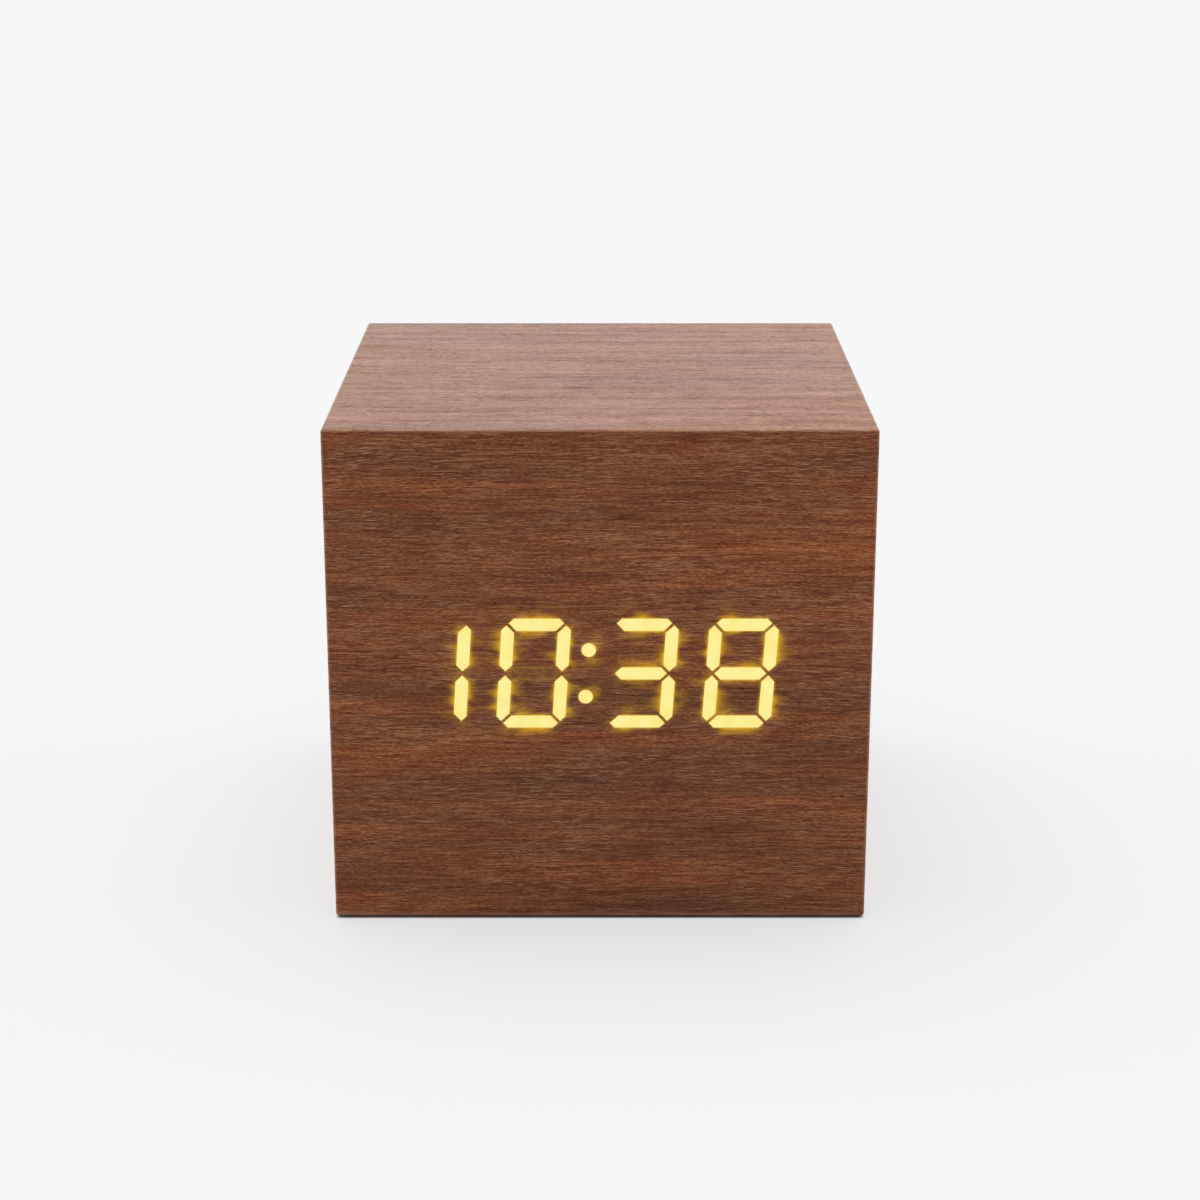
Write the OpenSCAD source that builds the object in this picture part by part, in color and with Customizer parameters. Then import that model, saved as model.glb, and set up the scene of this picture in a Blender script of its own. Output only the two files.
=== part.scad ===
// Cube alarm clock: a veneered box whose front shows the time in lit segments.
// Millimetres, +Z up. The origin is the middle of the underside, and the front faces -Y.

/* [Time shown] */
// Hour that the display shows
hour = 10; // [0:1:23]
// Minute that the display shows
minute = 38; // [0:1:59]

/* [Case] */
// Width of the case across the front
case_w = 68; // [61:1:84]
// Depth of the case from front to rear
case_d = 68; // [60:1:90]
// Height of the case
case_h = 64.5; // [58:0.5:84]
// Radius on the outer edges of the case
edge_r = 0.6; // [0.3:0.1:0.8]
// Thickness of the veneer
veneer_t = 0.4; // [0.3:0.1:0.6]
// Thickness of the fibreboard panels under the veneer
panel_t = 3; // [2.75:0.25:5]
// Width of a glue block in a rear corner
block_w = 6; // [5:0.5:9]
// Height of a glue block
block_h = 5.6; // [5:0.1:6.8]
// Length of a glue block
block_l = 6; // [4:1:20]

/* [Display] */
// Sideways place of the display's middle
display_x = -1.6; // [-2:0.1:2]
// Height of the display's middle
display_z = 33.3; // [30:0.1:36]
// Width of a digit between the middles of its posts
digit_w = 7.05; // [6.5:0.05:7.5]
// Height of a digit between the middles of its top and bottom bars
digit_h = 12.75; // [11:0.05:14]
// Lean of the digits in degrees
digit_lean = 3.7; // [0:0.1:8]
// Distance between digits of a pair
digit_pitch = 12.42; // [12:0.02:12.6]
// Distance between the digits beside the colon
colon_span = 13.42; // [12.6:0.02:13.6]
// Width of a segment
segment_t = 1.6; // [1.2:0.05:1.9]
// Gap between neighbouring segments
segment_gap = 0.4; // [0.2:0.05:0.5]
// Cut on the outer corners of a digit
corner_cut = 1.5; // [0.8:0.05:1.7]
// Diameter of a colon dot
dot_d = 1.8; // [1.2:0.05:2.2]
// Height of a colon dot above or below the middle
dot_rise = 3.07; // [2.5:0.01:4]
// Border of the reflector around the digits
reflector_border = 1.2; // [0.8:0.1:1.3]
// Height of the reflector
reflector_h = 19; // [18:0.5:22]
// Depth of the diffuser that fills a segment's cavity
diffuser_l = 2; // [1.4:0.1:2.3]

/* [Boards] */
// Thickness of the circuit boards
board_t = 1.6; // [1.2:0.1:2]
// Width of the display board
display_board_w = 54; // [53.6:0.2:60]
// Height of the display board
display_board_h = 37; // [36:0.5:44]
// Width of the key board
key_board_w = 50; // [44:0.5:56]
// Height of the key board
key_board_h = 7.6; // [7.4:0.1:8.6]
// Thickness of the ribbon cable
ribbon_t = 1; // [0.8:0.1:1.4]
// Width of the ribbon cable
ribbon_w = 7; // [6:0.5:8]
// Bend radius of the ribbon cable's middle
ribbon_bend_r = 5; // [4:0.5:6]
// Diameter of a battery lead
lead_d = 1.3; // [1:0.1:1.6]

/* [Rear cover] */
// Thickness of the rear cover
cover_t = 2.4; // [2.2:0.1:3]
// Depth of the cover below the rear edge of the case
cover_recess = 1; // [1:0.1:2]
// Gap between the cover and the case
cover_gap = 0.3; // [0.2:0.05:0.4]
// Thickness of the locating skirts behind the cover
skirt_t = 1.2; // [1:0.1:1.5]
// Depth of the locating skirts
skirt_l = 4; // [3:0.5:5]
// Width of a locating skirt
skirt_w = 5; // [3:0.5:6]
// Number of sound slots
slot_count = 9; // [5:2:11]
// Distance between sound slots
slot_pitch = 2.4; // [2.2:0.1:2.6]
// Width of a sound slot
slot_w = 1.2; // [0.8:0.1:1.4]
// Height of a sound slot
slot_h = 3.6; // [2:0.2:4]

/* [Battery bay] */
// Diameter of a battery cell
cell_d = 10.5; // [10:0.1:10.6]
// Length of a battery cell with its nub
cell_l = 44.5; // [43:0.1:44.8]
// Gap between neighbouring cells
cell_gap = 0.3; // [0.2:0.05:0.4]
// Gap between the cells and the bay's floor and door
cell_clear = 0.3; // [0.2:0.05:0.6]
// Thickness of the bay's walls
bay_wall = 1.6; // [1.4:0.1:1.8]
// Thickness of the contact plates
contact_t = 0.4; // [0.3:0.1:0.6]
// Length of a contact spring under load
spring_l = 4; // [3.6:0.1:4.2]
// Outer radius of a contact spring's wide end, to the wire's middle
spring_r = 2.9; // [2.4:0.1:3.2]
// Wire diameter of a contact spring
spring_wire = 0.5; // [0.4:0.05:0.55]
// Thickness of the battery door
door_t = 2; // [1.8:0.1:2.1]
// Overlap of the door on the bay's walls
door_lap = 0.9; // [0.7:0.1:1]
// Gap around the door
door_gap = 0.15; // [0.1:0.05:0.2]
// Diameter of the door's hinge pins
hinge_pin_d = 1.2; // [1:0.1:1.3]
// Radial clearance of the hinge pins
hinge_fit = 0.05; // [0.03:0.01:0.1]

/* [Buttons] */
// Diameter of a button
button_d = 6; // [5:0.1:6.2]
// Distance between buttons
button_pitch = 8.5; // [8:0.1:9.5]
// Height of a button above the cover
button_proud = 0.7; // [0.5:0.05:0.9]
// Travel of a button
button_travel = 0.5; // [0.3:0.05:0.6]
// Clearance around a button
button_gap = 0.2; // [0.1:0.05:0.25]
// Diameter of a button's retaining flange
flange_d = 7.4; // [7.2:0.1:8]

/* [Fasteners] */
// Diameter of the rear cover's screws
cover_screw_d = 2.5; // [2:0.1:2.8]
// Length of the rear cover's screws
cover_screw_l = 8; // [6:0.5:13]
// Diameter of the board screws
board_screw_d = 2; // [1.6:0.1:2.2]
// Radial clearance of a screw in its hole
screw_fit = 0.05; // [0.02:0.01:0.1]

/* [Hidden] */
$fn = 48;
through = 1;             // how far a cut runs past the face that it opens

// Case
core_x = case_w / 2 - veneer_t;
core_front = -case_d / 2 + veneer_t;
core_rear = case_d / 2 - veneer_t;
core_low = veneer_t;
core_high = case_h - veneer_t;
cavity_x = core_x - panel_t;
cavity_front = core_front + panel_t;
cavity_low = core_low + panel_t;
cavity_high = core_high - panel_t;

// Display
post_x = digit_w / 2;
bar_z = digit_h / 2;
half_t = segment_t / 2;
gap_step = segment_gap / sqrt(2);
digit_x = [
    -colon_span / 2 - digit_pitch, -colon_span / 2,
    colon_span / 2, colon_span / 2 + digit_pitch
];
shown_digits = [floor(hour / 10), hour % 10, floor(minute / 10), minute % 10];
glyphs = ["abcdef", "bc", "abged", "abgcd", "fgbc", "afgcd", "afgedc", "abc", "abcdefg", "abcfgd"];
segment_names = "abcdefg";
reflector_x = digit_x[3] + post_x + half_t + (bar_z + half_t) * tan(digit_lean) + reflector_border;
reflector_fit = 0.2;
led_size = [1.6, 0.6, 0.8];
display_board_back = cavity_front + board_t;
display_screw_inset = 3;
display_screw_x = display_board_w / 2 - display_screw_inset;
display_screw_z = display_board_h / 2 - display_screw_inset;
display_screw_grip = 2.2;

// Parts on the back of the display board, with places from the display's middle
chip_pitch = 1.27;
chip_leg_w = 0.5;
chip_leg_l = 1.5;
chip_standoff = 0.2;
clock_chip_size = [18, 2.3, 7.6];
clock_chip_legs = 14;
clock_chip_x = -8;
driver_chip_size = [10, 1.6, 4];
driver_chip_legs = 8;
driver_chip_x = 13;
crystal_d = 3;
crystal_l = 8;
crystal_place = [-18, -9];
buzzer_d = 12;
buzzer_h = 6;
buzzer_hole_d = 2;
buzzer_hole_depth = 1.5;
buzzer_place = [15, -10];
capacitor_d = 6.3;
capacitor_h = 8;
capacitor_place = [20, 11];

// Rear cover and battery bay
cover_face = case_d / 2 - cover_recess;
cover_back = cover_face - cover_t;
cover_x = cavity_x - cover_gap;
cover_low = cavity_low + cover_gap;
cover_high = cavity_high - cover_gap;
cover_corner_r = 1;
screw_x = cavity_x - block_w / 2;
screw_low = cavity_low + block_h / 2;
screw_high = cavity_high - block_h / 2;
block_gap = 0.2;
bay_x = (cell_l + spring_l + 2 * contact_t) / 2;
bay_low = cavity_low + block_h + block_gap + bay_wall;
cell_pitch = cell_d + cell_gap;
bay_high = bay_low + 3 * cell_pitch + cell_gap;
door_back = cover_face - door_t;
door_seat_gap = 0.1;
bay_floor = door_back - cell_d - 2 * cell_clear;
cell_y = bay_floor + cell_clear + cell_d / 2;
cell_z = [for (i = [0 : 2]) bay_high - cell_gap - cell_d / 2 - i * cell_pitch];
cell_plus = [1, -1, 1];  // side of each cell's plus end, top cell first
nub_d = 3.8;
nub_l = 0.9;
cradle_t = 1.4;
cradle_h = 2.6;
contact_w = 8;
contact_h = 8;
tail_w = 2;
tail_l = 3;
tail_gap = 0.2;
tail_end = bay_floor - bay_wall - tail_l;

// Battery door
door_x = bay_x + door_lap;
door_low = bay_low - door_lap;
door_high = bay_high + door_lap;
hinge_y = cover_face - door_t / 2;
hinge_z = door_low + door_t / 2;
hinge_pin_l = 1;
tongue_w = 11;
tongue_l = 9;
tongue_slot = 0.8;
grip_count = 4;
grip_pitch = 1.6;
grip_d = 0.8;
grip_inset = 1.5;
grip_start = 2;
notch_w = 10;
notch_h = 1.8;
notch_depth = 1.2;
door_rib_t = 1;
door_rib_h = 2;
door_rib_inset = 4;      // how far a rib stops short of the bay's end

// Key board, buttons and USB socket, all in one row between two bosses
key_z = (bay_high + bay_wall + cover_high) / 2;
key_margin = 1;          // how far the key board runs past its bosses
boss_d = 4.2;
boss_x = key_board_w / 2 - key_margin - boss_d / 2;
usb_size = [7.5, 2.7];
key_row = 2 * boss_x - boss_d;
key_gap = (key_row - flange_d - 2 * button_pitch - usb_size[0]) / 3;
button_x = [for (i = [0 : 2]) -key_row / 2 + key_gap + flange_d / 2 + i * button_pitch];
usb_x = key_row / 2 - key_gap - usb_size[0] / 2;
flange_t = 0.8;
flange_gap = 0.1;
stem_d = 3;
stem_l = 0.5;
plunger_d = 3.3;
plunger_fit = 0.1;
plunger_proud = 1.5;
plunger_foot = 0.4;
switch_w = 6;
switch_h = 3.5;
stem_end = cover_back - flange_gap - flange_t - stem_l;
switch_top = stem_end - plunger_proud;
key_board_rear = switch_top - switch_h;
key_board_front = key_board_rear - board_t;
boss_cap = 1;            // solid left past the end of a boss's hole
boss_grip = cover_back - key_board_rear - boss_cap;
usb_wall = 0.3;
usb_hole_gap = 0.4;
usb_face = cover_face - 0.3;
usb_tongue_size = [3.8, 0.6];
usb_tongue_l = 3.5;
usb_depth = 5;

// Fasteners
cover_head_d = 4;
board_head_d = 3.8;
board_head_h = 1.3;
recess_share = 0.6;      // size of a cross recess as a share of its head
recess_w = 0.6;
recess_depth = 0.7;

// Cables
plug_size = [10, 4.5, 5];
ribbon_x = button_x[1];
ribbon_plug_rise = 13;
ribbon_plug_z = display_z + ribbon_plug_rise;
ribbon_turn = 40;        // slope of the ribbon between its bends, in degrees
ribbon_arc_steps = 8;
power_plug_drop = 14.4;
power_plug_z = display_z - power_plug_drop;
power_plug_w = 6;
lead_step = 1.5;         // sideways place of each lead in the power plug
lead_reach = 14;         // how far a lead runs straight on before it turns
lead_steps = 16;
spring_turns = 3;
spring_taper = 0.9;      // how much a spring's radius falls towards the cell

// Extrudes an X-Z outline from y0 to y1
module along_y(y0, y1) {
    translate([0, y1, 0]) rotate([90, 0, 0]) linear_extrude(y1 - y0) children();
}

// Extrudes a Y-Z outline from x0 to x1
module along_x(x0, x1) {
    translate([x0, 0, 0]) rotate([90, 0, 90]) linear_extrude(x1 - x0) children();
}

// Box between two corners
module block(low, high) {
    translate(low) cube(high - low);
}

// Outline between two corners with round corners
module round_rect(low, high, r) {
    size = high - low;
    translate(low) {
        translate([r, 0]) square([size[0] - 2 * r, size[1]]);
        translate([0, r]) square([size[0], size[1] - 2 * r]);
        for (x = [r, size[0] - r], y = [r, size[1] - r])
            translate([x, y]) circle(r);
    }
}

// Cylinder along Y from y0 to y1
module rod_y(y0, y1, d, x = 0, z = 0) {
    translate([x, y1, z]) rotate([90, 0, 0]) cylinder(h = y1 - y0, d = d);
}

// Cylinder along X from x0 to x1
module rod_x(x0, x1, d, y = 0, z = 0) {
    translate([x0, y, z]) rotate([0, 90, 0]) cylinder(h = x1 - x0, d = d);
}

// Cross recess in a screw head whose top is at y, cut towards +Y when turn is 1 and towards -Y for -1
module cross_recess(x, y, z, w, turn) {
    for (size = [[w, recess_w], [recess_w, w]])
        translate([x, y + turn * (recess_depth - through) / 2, z])
            cube([size[0], recess_depth + through, size[1]], center = true);
}

// The whole outer block of the case, with rounded edges
module case_block() {
    intersection() {
        linear_extrude(case_h)
            round_rect([-case_w / 2, -case_d / 2], [case_w / 2, case_d / 2], edge_r);
        along_y(-case_d / 2, case_d / 2)
            round_rect([-case_w / 2, 0], [case_w / 2, case_h], edge_r);
        along_x(-case_w / 2, case_w / 2)
            round_rect([-case_d / 2, 0], [case_d / 2, case_h], edge_r);
    }
}

// Seven-segment digits

function leaned(p) = [p[0] + p[1] * tan(digit_lean), p[1]];

// Half of the top bar, from its outer edge to its inner edge
bar_end = [
    [post_x + half_t - corner_cut, bar_z + half_t],
    [post_x + half_t - (corner_cut + gap_step) / 2, bar_z + half_t - (corner_cut - gap_step) / 2],
    [post_x - half_t - gap_step, bar_z - half_t]
];
top_bar = concat(bar_end, [for (i = [2 : -1 : 0]) [-bar_end[i][0], bar_end[i][1]]]);
middle_tip = post_x - gap_step;
middle_bar = [
    [middle_tip, 0], [middle_tip - half_t, half_t], [half_t - middle_tip, half_t],
    [-middle_tip, 0], [half_t - middle_tip, -half_t], [middle_tip - half_t, -half_t]
];
upper_post = [
    [post_x + half_t, bar_z + half_t - corner_cut],
    [post_x + half_t - (corner_cut - gap_step) / 2, bar_z + half_t - (corner_cut + gap_step) / 2],
    [post_x - half_t, bar_z - half_t - gap_step],
    [post_x - half_t, half_t + gap_step],
    [post_x, gap_step],
    [post_x + half_t, half_t + gap_step]
];

function flipped(points, x, z) = [for (p = points) [p[0] * x, p[1] * z]];

function segment_points(s) =
    s == "a" ? top_bar :
    s == "d" ? flipped(top_bar, 1, -1) :
    s == "g" ? middle_bar :
    s == "b" ? upper_post :
    s == "c" ? flipped(upper_post, 1, -1) :
    s == "f" ? flipped(upper_post, -1, 1) : flipped(upper_post, -1, -1);

function segment_middle(s) =
    s == "a" ? [0, bar_z] :
    s == "d" ? [0, -bar_z] :
    s == "g" ? [0, 0] :
    s == "b" ? [post_x, bar_z / 2] :
    s == "c" ? [post_x, -bar_z / 2] :
    s == "f" ? [-post_x, bar_z / 2] : [-post_x, -bar_z / 2];

function is_bar(s) = s == "a" || s == "d" || s == "g";

function is_lit(digit, s) = len(search(s, glyphs[digit])) > 0;

module segment_outline(place, s) {
    translate([display_x + digit_x[place], display_z])
        polygon([for (p = segment_points(s)) leaned(p)]);
}

// Outlines of every segment, of the lit ones, or of the dark ones
module segments(wanted = "every") {
    for (place = [0 : 3], s = segment_names)
        if (wanted == "every" || (wanted == "lit") == is_lit(shown_digits[place], s))
            segment_outline(place, s);
}

module dots() {
    for (side = [-1, 1])
        translate([display_x, display_z] + leaned([0, side * dot_rise])) circle(d = dot_d);
}

// Case

module veneer_wrap() {
    color("saddlebrown") difference() {
        case_block();
        block([-case_w, -case_d, -through], [case_w, case_d, veneer_t]);
        block([-core_x, core_front, core_low], [core_x, core_rear, core_high]);
        block([-cavity_x, 0, cavity_low], [cavity_x, case_d, cavity_high]);
        along_y(-case_d / 2 - through, core_front + through) {
            segments("lit");
            dots();
        }
    }
}

module base_veneer() {
    color("saddlebrown") intersection() {
        case_block();
        block([-case_w, -case_d, -through], [case_w, case_d, veneer_t]);
    }
}

module front_panel() {
    window_x = reflector_x + reflector_fit;
    window_z = reflector_h / 2 + reflector_fit;
    color("tan") difference() {
        intersection() {
            linear_extrude(case_h) polygon([
                [-core_x, core_front], [core_x, core_front],
                [cavity_x, cavity_front], [-cavity_x, cavity_front]
            ]);
            along_x(-core_x, core_x) polygon([
                [core_front, core_low], [core_front, core_high],
                [cavity_front, cavity_high], [cavity_front, cavity_low]
            ]);
        }
        block(
            [display_x - window_x, core_front - through, display_z - window_z],
            [display_x + window_x, cavity_front + through, display_z + window_z]
        );
        display_screw_places()
            rod_y(cavity_front - display_screw_grip, cavity_front + through, board_screw_d + 2 * screw_fit);
    }
}

module top_panel() {
    color("tan") intersection() {
        along_y(core_front, core_rear) polygon([
            [-core_x, core_high], [core_x, core_high], [cavity_x, cavity_high], [-cavity_x, cavity_high]
        ]);
        along_x(-core_x, core_x) polygon([
            [core_front, core_high], [core_rear, core_high],
            [core_rear, cavity_high], [cavity_front, cavity_high]
        ]);
    }
}

module bottom_panel() {
    translate([0, 0, case_h]) mirror([0, 0, 1]) top_panel();
}

module right_panel() {
    color("tan") intersection() {
        along_y(core_front, core_rear) polygon([
            [core_x, core_low], [core_x, core_high], [cavity_x, cavity_high], [cavity_x, cavity_low]
        ]);
        linear_extrude(case_h) polygon([
            [core_x, core_front], [core_x, core_rear], [cavity_x, core_rear], [cavity_x, cavity_front]
        ]);
    }
}

module left_panel() {
    mirror([1, 0, 0]) right_panel();
}

// Glue blocks that take the rear cover's screws
module corner_blocks() {
    color("burlywood") for (x = [-1, 1], z = [0, 1]) {
        low = z ? cavity_high - block_h : cavity_low;
        inner = cavity_x - block_w;
        difference() {
            block(
                [x > 0 ? inner : -cavity_x, cover_back - block_l, low],
                [x > 0 ? cavity_x : -inner, cover_back, low + block_h]
            );
            rod_y(
                cover_face - cover_screw_l - screw_fit, cover_back + through,
                cover_screw_d + 2 * screw_fit, x * screw_x, z ? screw_high : screw_low
            );
        }
    }
}

// Display

module display_reflector() {
    color("white") difference() {
        block(
            [display_x - reflector_x, core_front, display_z - reflector_h / 2],
            [display_x + reflector_x, cavity_front, display_z + reflector_h / 2]
        );
        along_y(core_front - through, cavity_front + through) {
            segments();
            dots();
        }
    }
}

// The lit diffusers show flush with the veneer; the dark ones stay behind it
module lit_segments() {
    color("gold") along_y(-case_d / 2, core_front + diffuser_l) segments("lit");
}

module unlit_segments() {
    color("lightyellow") along_y(core_front, core_front + diffuser_l) segments("dark");
}

module colon_dots() {
    color("gold") along_y(-case_d / 2, core_front + diffuser_l) dots();
}

module segment_leds() {
    color("khaki") {
        for (place = [0 : 3], s = segment_names) {
            middle = leaned(segment_middle(s));
            led(digit_x[place] + middle[0], middle[1], is_bar(s));
        }
        for (side = [-1, 1]) {
            middle = leaned([0, side * dot_rise]);
            led(middle[0], middle[1], true);
        }
    }
}

module led(x, z, flat) {
    translate([display_x + x, cavity_front - led_size[1] / 2, display_z + z])
        rotate([0, flat ? 0 : 90, 0])
            cube(led_size, center = true);
}

module display_screw_places() {
    for (x = [-1, 1], z = [-1, 1])
        translate([x * display_screw_x, 0, display_z + z * display_screw_z]) children();
}

module display_board() {
    color("darkgreen") difference() {
        block(
            [-display_board_w / 2, cavity_front, display_z - display_board_h / 2],
            [display_board_w / 2, display_board_back, display_z + display_board_h / 2]
        );
        display_screw_places()
            rod_y(cavity_front - through, display_board_back + through, board_screw_d + 2 * screw_fit);
    }
}

// Pan-head screw along Y: its head sits on the face at y, and its shank runs l on towards -Y or +Y
module pan_screw(y, l, way) {
    difference() {
        union() {
            rod_y(min(y, y + way * l), max(y, y + way * l), board_screw_d);
            rod_y(min(y, y - way * board_head_h), max(y, y - way * board_head_h), board_head_d);
        }
        cross_recess(0, y - way * board_head_h, 0, board_head_d * recess_share, way);
    }
}

module display_board_screws() {
    color("silver") display_screw_places()
        pan_screw(display_board_back, board_t + display_screw_grip - screw_fit, -1);
}

// Flat chip with gull-wing legs
module chip(x, size, legs) {
    half = size / 2;
    color("dimgray") translate([x, display_board_back, display_z]) {
        block([-half[0], chip_standoff, -half[2]], [half[0], chip_standoff + size[1], half[2]]);
        for (side = [-1, 1], i = [0 : legs - 1])
            translate([(i - (legs - 1) / 2) * chip_pitch, half[1] / 2, side * (half[2] + chip_leg_l / 2)])
                cube([chip_leg_w, half[1], chip_leg_l], center = true);
    }
}

module clock_chip() {
    chip(clock_chip_x, clock_chip_size, clock_chip_legs);
}

module driver_chip() {
    chip(driver_chip_x, driver_chip_size, driver_chip_legs);
}

// Can crystal on its side
module crystal() {
    color("silver") rod_x(
        crystal_place[0] - crystal_l / 2, crystal_place[0] + crystal_l / 2, crystal_d,
        display_board_back + crystal_d / 2, display_z + crystal_place[1]
    );
}

module buzzer() {
    color("black") translate([buzzer_place[0], display_board_back, display_z + buzzer_place[1]])
        difference() {
            rod_y(0, buzzer_h, buzzer_d);
            rod_y(buzzer_h - buzzer_hole_depth, buzzer_h + through, buzzer_hole_d);
        }
}

module capacitor() {
    color("royalblue") rod_y(
        display_board_back, display_board_back + capacitor_h, capacitor_d,
        capacitor_place[0], display_z + capacitor_place[1]
    );
}

// Cables

module plug(w) {
    color("ivory") translate([-w / 2, 0, -plug_size[2] / 2]) cube([w, plug_size[1], plug_size[2]]);
}

module ribbon_plug_display() {
    translate([ribbon_x, display_board_back, ribbon_plug_z]) plug(plug_size[0]);
}

module ribbon_plug_keys() {
    translate([ribbon_x, key_board_front - plug_size[1], key_z]) plug(plug_size[0]);
}

// Flat cable that climbs from the display board to the key board in two equal bends
module ribbon_cable() {
    color("lightgray") along_x(ribbon_x - ribbon_w / 2, ribbon_x + ribbon_w / 2)
        polygon(concat(ribbon_side(-1), reversed(ribbon_side(1))));
}

function reversed(points) = [for (i = [len(points) - 1 : -1 : 0]) points[i]];

function arc(middle, r, from, to) = [
    for (i = [0 : ribbon_arc_steps]) let (angle = from + (to - from) * i / ribbon_arc_steps)
        middle + r * [cos(angle), sin(angle)]
];

// Lower side of the ribbon for -1 and upper side for 1, from the display board to the key board
function ribbon_side(side) = let (
    start = display_board_back + plug_size[1],
    finish = key_board_front - plug_size[1],
    rise = key_z - ribbon_plug_z,
    slope_l = (rise - 2 * ribbon_bend_r * (1 - cos(ribbon_turn))) / sin(ribbon_turn),
    slope_run = slope_l * cos(ribbon_turn) + 2 * ribbon_bend_r * sin(ribbon_turn),
    flat_l = (finish - start - slope_run) / 2,
    half = side * ribbon_t / 2
) concat(
    [[start, ribbon_plug_z + half]],
    arc([start + flat_l, ribbon_plug_z + ribbon_bend_r], ribbon_bend_r - half, -90, ribbon_turn - 90),
    arc([finish - flat_l, key_z - ribbon_bend_r], ribbon_bend_r + half, 90 + ribbon_turn, 90),
    [[finish, key_z + half]]
);

module power_plug() {
    translate([0, display_board_back, power_plug_z]) plug(power_plug_w);
}

function unit(v) = v / norm(v);

// Smooth path between two points that leaves and arrives along Y
function curve(a, b, reach, steps) = [
    for (i = [0 : steps]) let (t = i / steps, u = 1 - t)
        pow(u, 3) * a + 3 * u * u * t * (a - [0, reach, 0])
        + 3 * u * t * t * (b + [0, reach, 0]) + pow(t, 3) * b
];

function tangent(path, i) =
    unit(path[min(i + 1, len(path) - 1)] - path[max(i - 1, 0)]);

// Sideways directions carried along a path without twist
function sideways(path, i, last) = let (
    t = tangent(path, i),
    side = unit(last - (last * t) * t)
) i == len(path) - 1 ? [side] : concat([side], sideways(path, i + 1, side));

// Round tube along a path
module tube(path, d, sides, first_side) {
    across = sideways(path, 0, first_side);
    rings = len(path);
    points = [
        for (i = [0 : rings - 1], k = [0 : sides - 1])
            let (n = across[i], b = cross(tangent(path, i), n), angle = 360 * k / sides)
                path[i] + d / 2 * (cos(angle) * n + sin(angle) * b)
    ];
    walls = [
        for (i = [0 : rings - 2], k = [0 : sides - 1])
            let (a = i * sides + k, b = i * sides + (k + 1) % sides)
                each [[a, a + sides, b], [b, a + sides, b + sides]]
    ];
    last = (rings - 1) * sides;
    caps = [for (k = [1 : sides - 2]) each [[0, k, k + 1], [last, last + k + 1, last + k]]];
    polyhedron(points, concat(walls, caps));
}

// From a contact's tail to the power plug, with a straight run at each end
function lead_path(side, z) = let (
    tail = [side * (bay_x - contact_t / 2), tail_end, z],
    socket = [side * lead_step, display_board_back + plug_size[1], power_plug_z],
    run = [0, lead_d, 0]
) concat([tail], curve(tail - run, socket + run, lead_reach, lead_steps), [socket]);

module battery_lead_minus() {
    color("black") tube(lead_path(-1, cell_z[0]), lead_d, 8, [1, 0, 0]);
}

module battery_lead_plus() {
    color("red") tube(lead_path(1, cell_z[2]), lead_d, 8, [1, 0, 0]);
}

// Key board and buttons

module key_board() {
    color("darkgreen") difference() {
        block(
            [-key_board_w / 2, key_board_front, key_z - key_board_h / 2],
            [key_board_w / 2, key_board_rear, key_z + key_board_h / 2]
        );
        for (x = [-boss_x, boss_x])
            rod_y(
                key_board_front - through, key_board_rear + through,
                board_screw_d + 2 * screw_fit, x, key_z
            );
    }
}

module key_board_screws() {
    color("silver") for (x = [-boss_x, boss_x])
        translate([x, 0, key_z])
            pan_screw(key_board_front, board_t + boss_grip - screw_fit, 1);
}

module tact_switches() {
    foot_room = button_travel + plunger_foot + plunger_fit;
    color("dimgray") for (x = button_x) translate([x, 0, key_z]) difference() {
        block(
            [-switch_w / 2, key_board_rear, -switch_w / 2],
            [switch_w / 2, switch_top, switch_w / 2]
        );
        rod_y(switch_top - foot_room, switch_top + through, plunger_d + 2 * plunger_fit);
    }
}

module plunger(i) {
    color("black") rod_y(switch_top - plunger_foot, stem_end, plunger_d, button_x[i], key_z);
}

// Domed cap, retaining flange behind the cover, and a stem that meets the plunger
module button(i) {
    flange_top = cover_back - flange_gap;
    cap_edge = 0.5;
    cap_h = cover_face + button_proud - flange_top;
    color("black") translate([button_x[i], stem_end, key_z]) rotate([-90, 0, 0]) {
        cylinder(h = stem_l, d = stem_d);
        translate([0, 0, stem_l]) cylinder(h = flange_t, d = flange_d);
        translate([0, 0, stem_l + flange_t]) cylinder(h = cap_h - cap_edge, d = button_d);
        translate([0, 0, stem_l + flange_t + cap_h - cap_edge])
            cylinder(h = cap_edge, d1 = button_d, d2 = button_d - 2 * cap_edge);
    }
}

module usb_outline(inset) {
    half = usb_size / 2 - [inset, inset];
    cut = 1.1;
    polygon([
        [-half[0], half[1]], [half[0], half[1]], [half[0], cut - half[1]],
        [half[0] - cut, -half[1]], [cut - half[0], -half[1]], [-half[0], cut - half[1]]
    ]);
}

module usb_shell() {
    color("silver") translate([usb_x, 0, key_z]) difference() {
        along_y(key_board_rear, usb_face) usb_outline(0);
        along_y(usb_face - usb_depth, usb_face + through) usb_outline(usb_wall);
    }
}

module usb_tongue() {
    color("black") translate([usb_x, usb_face - usb_depth, key_z])
        block(
            [-usb_tongue_size[0] / 2, 0, -usb_tongue_size[1] / 2],
            [usb_tongue_size[0] / 2, usb_tongue_l, usb_tongue_size[1] / 2]
        );
}

// Rear cover

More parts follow.
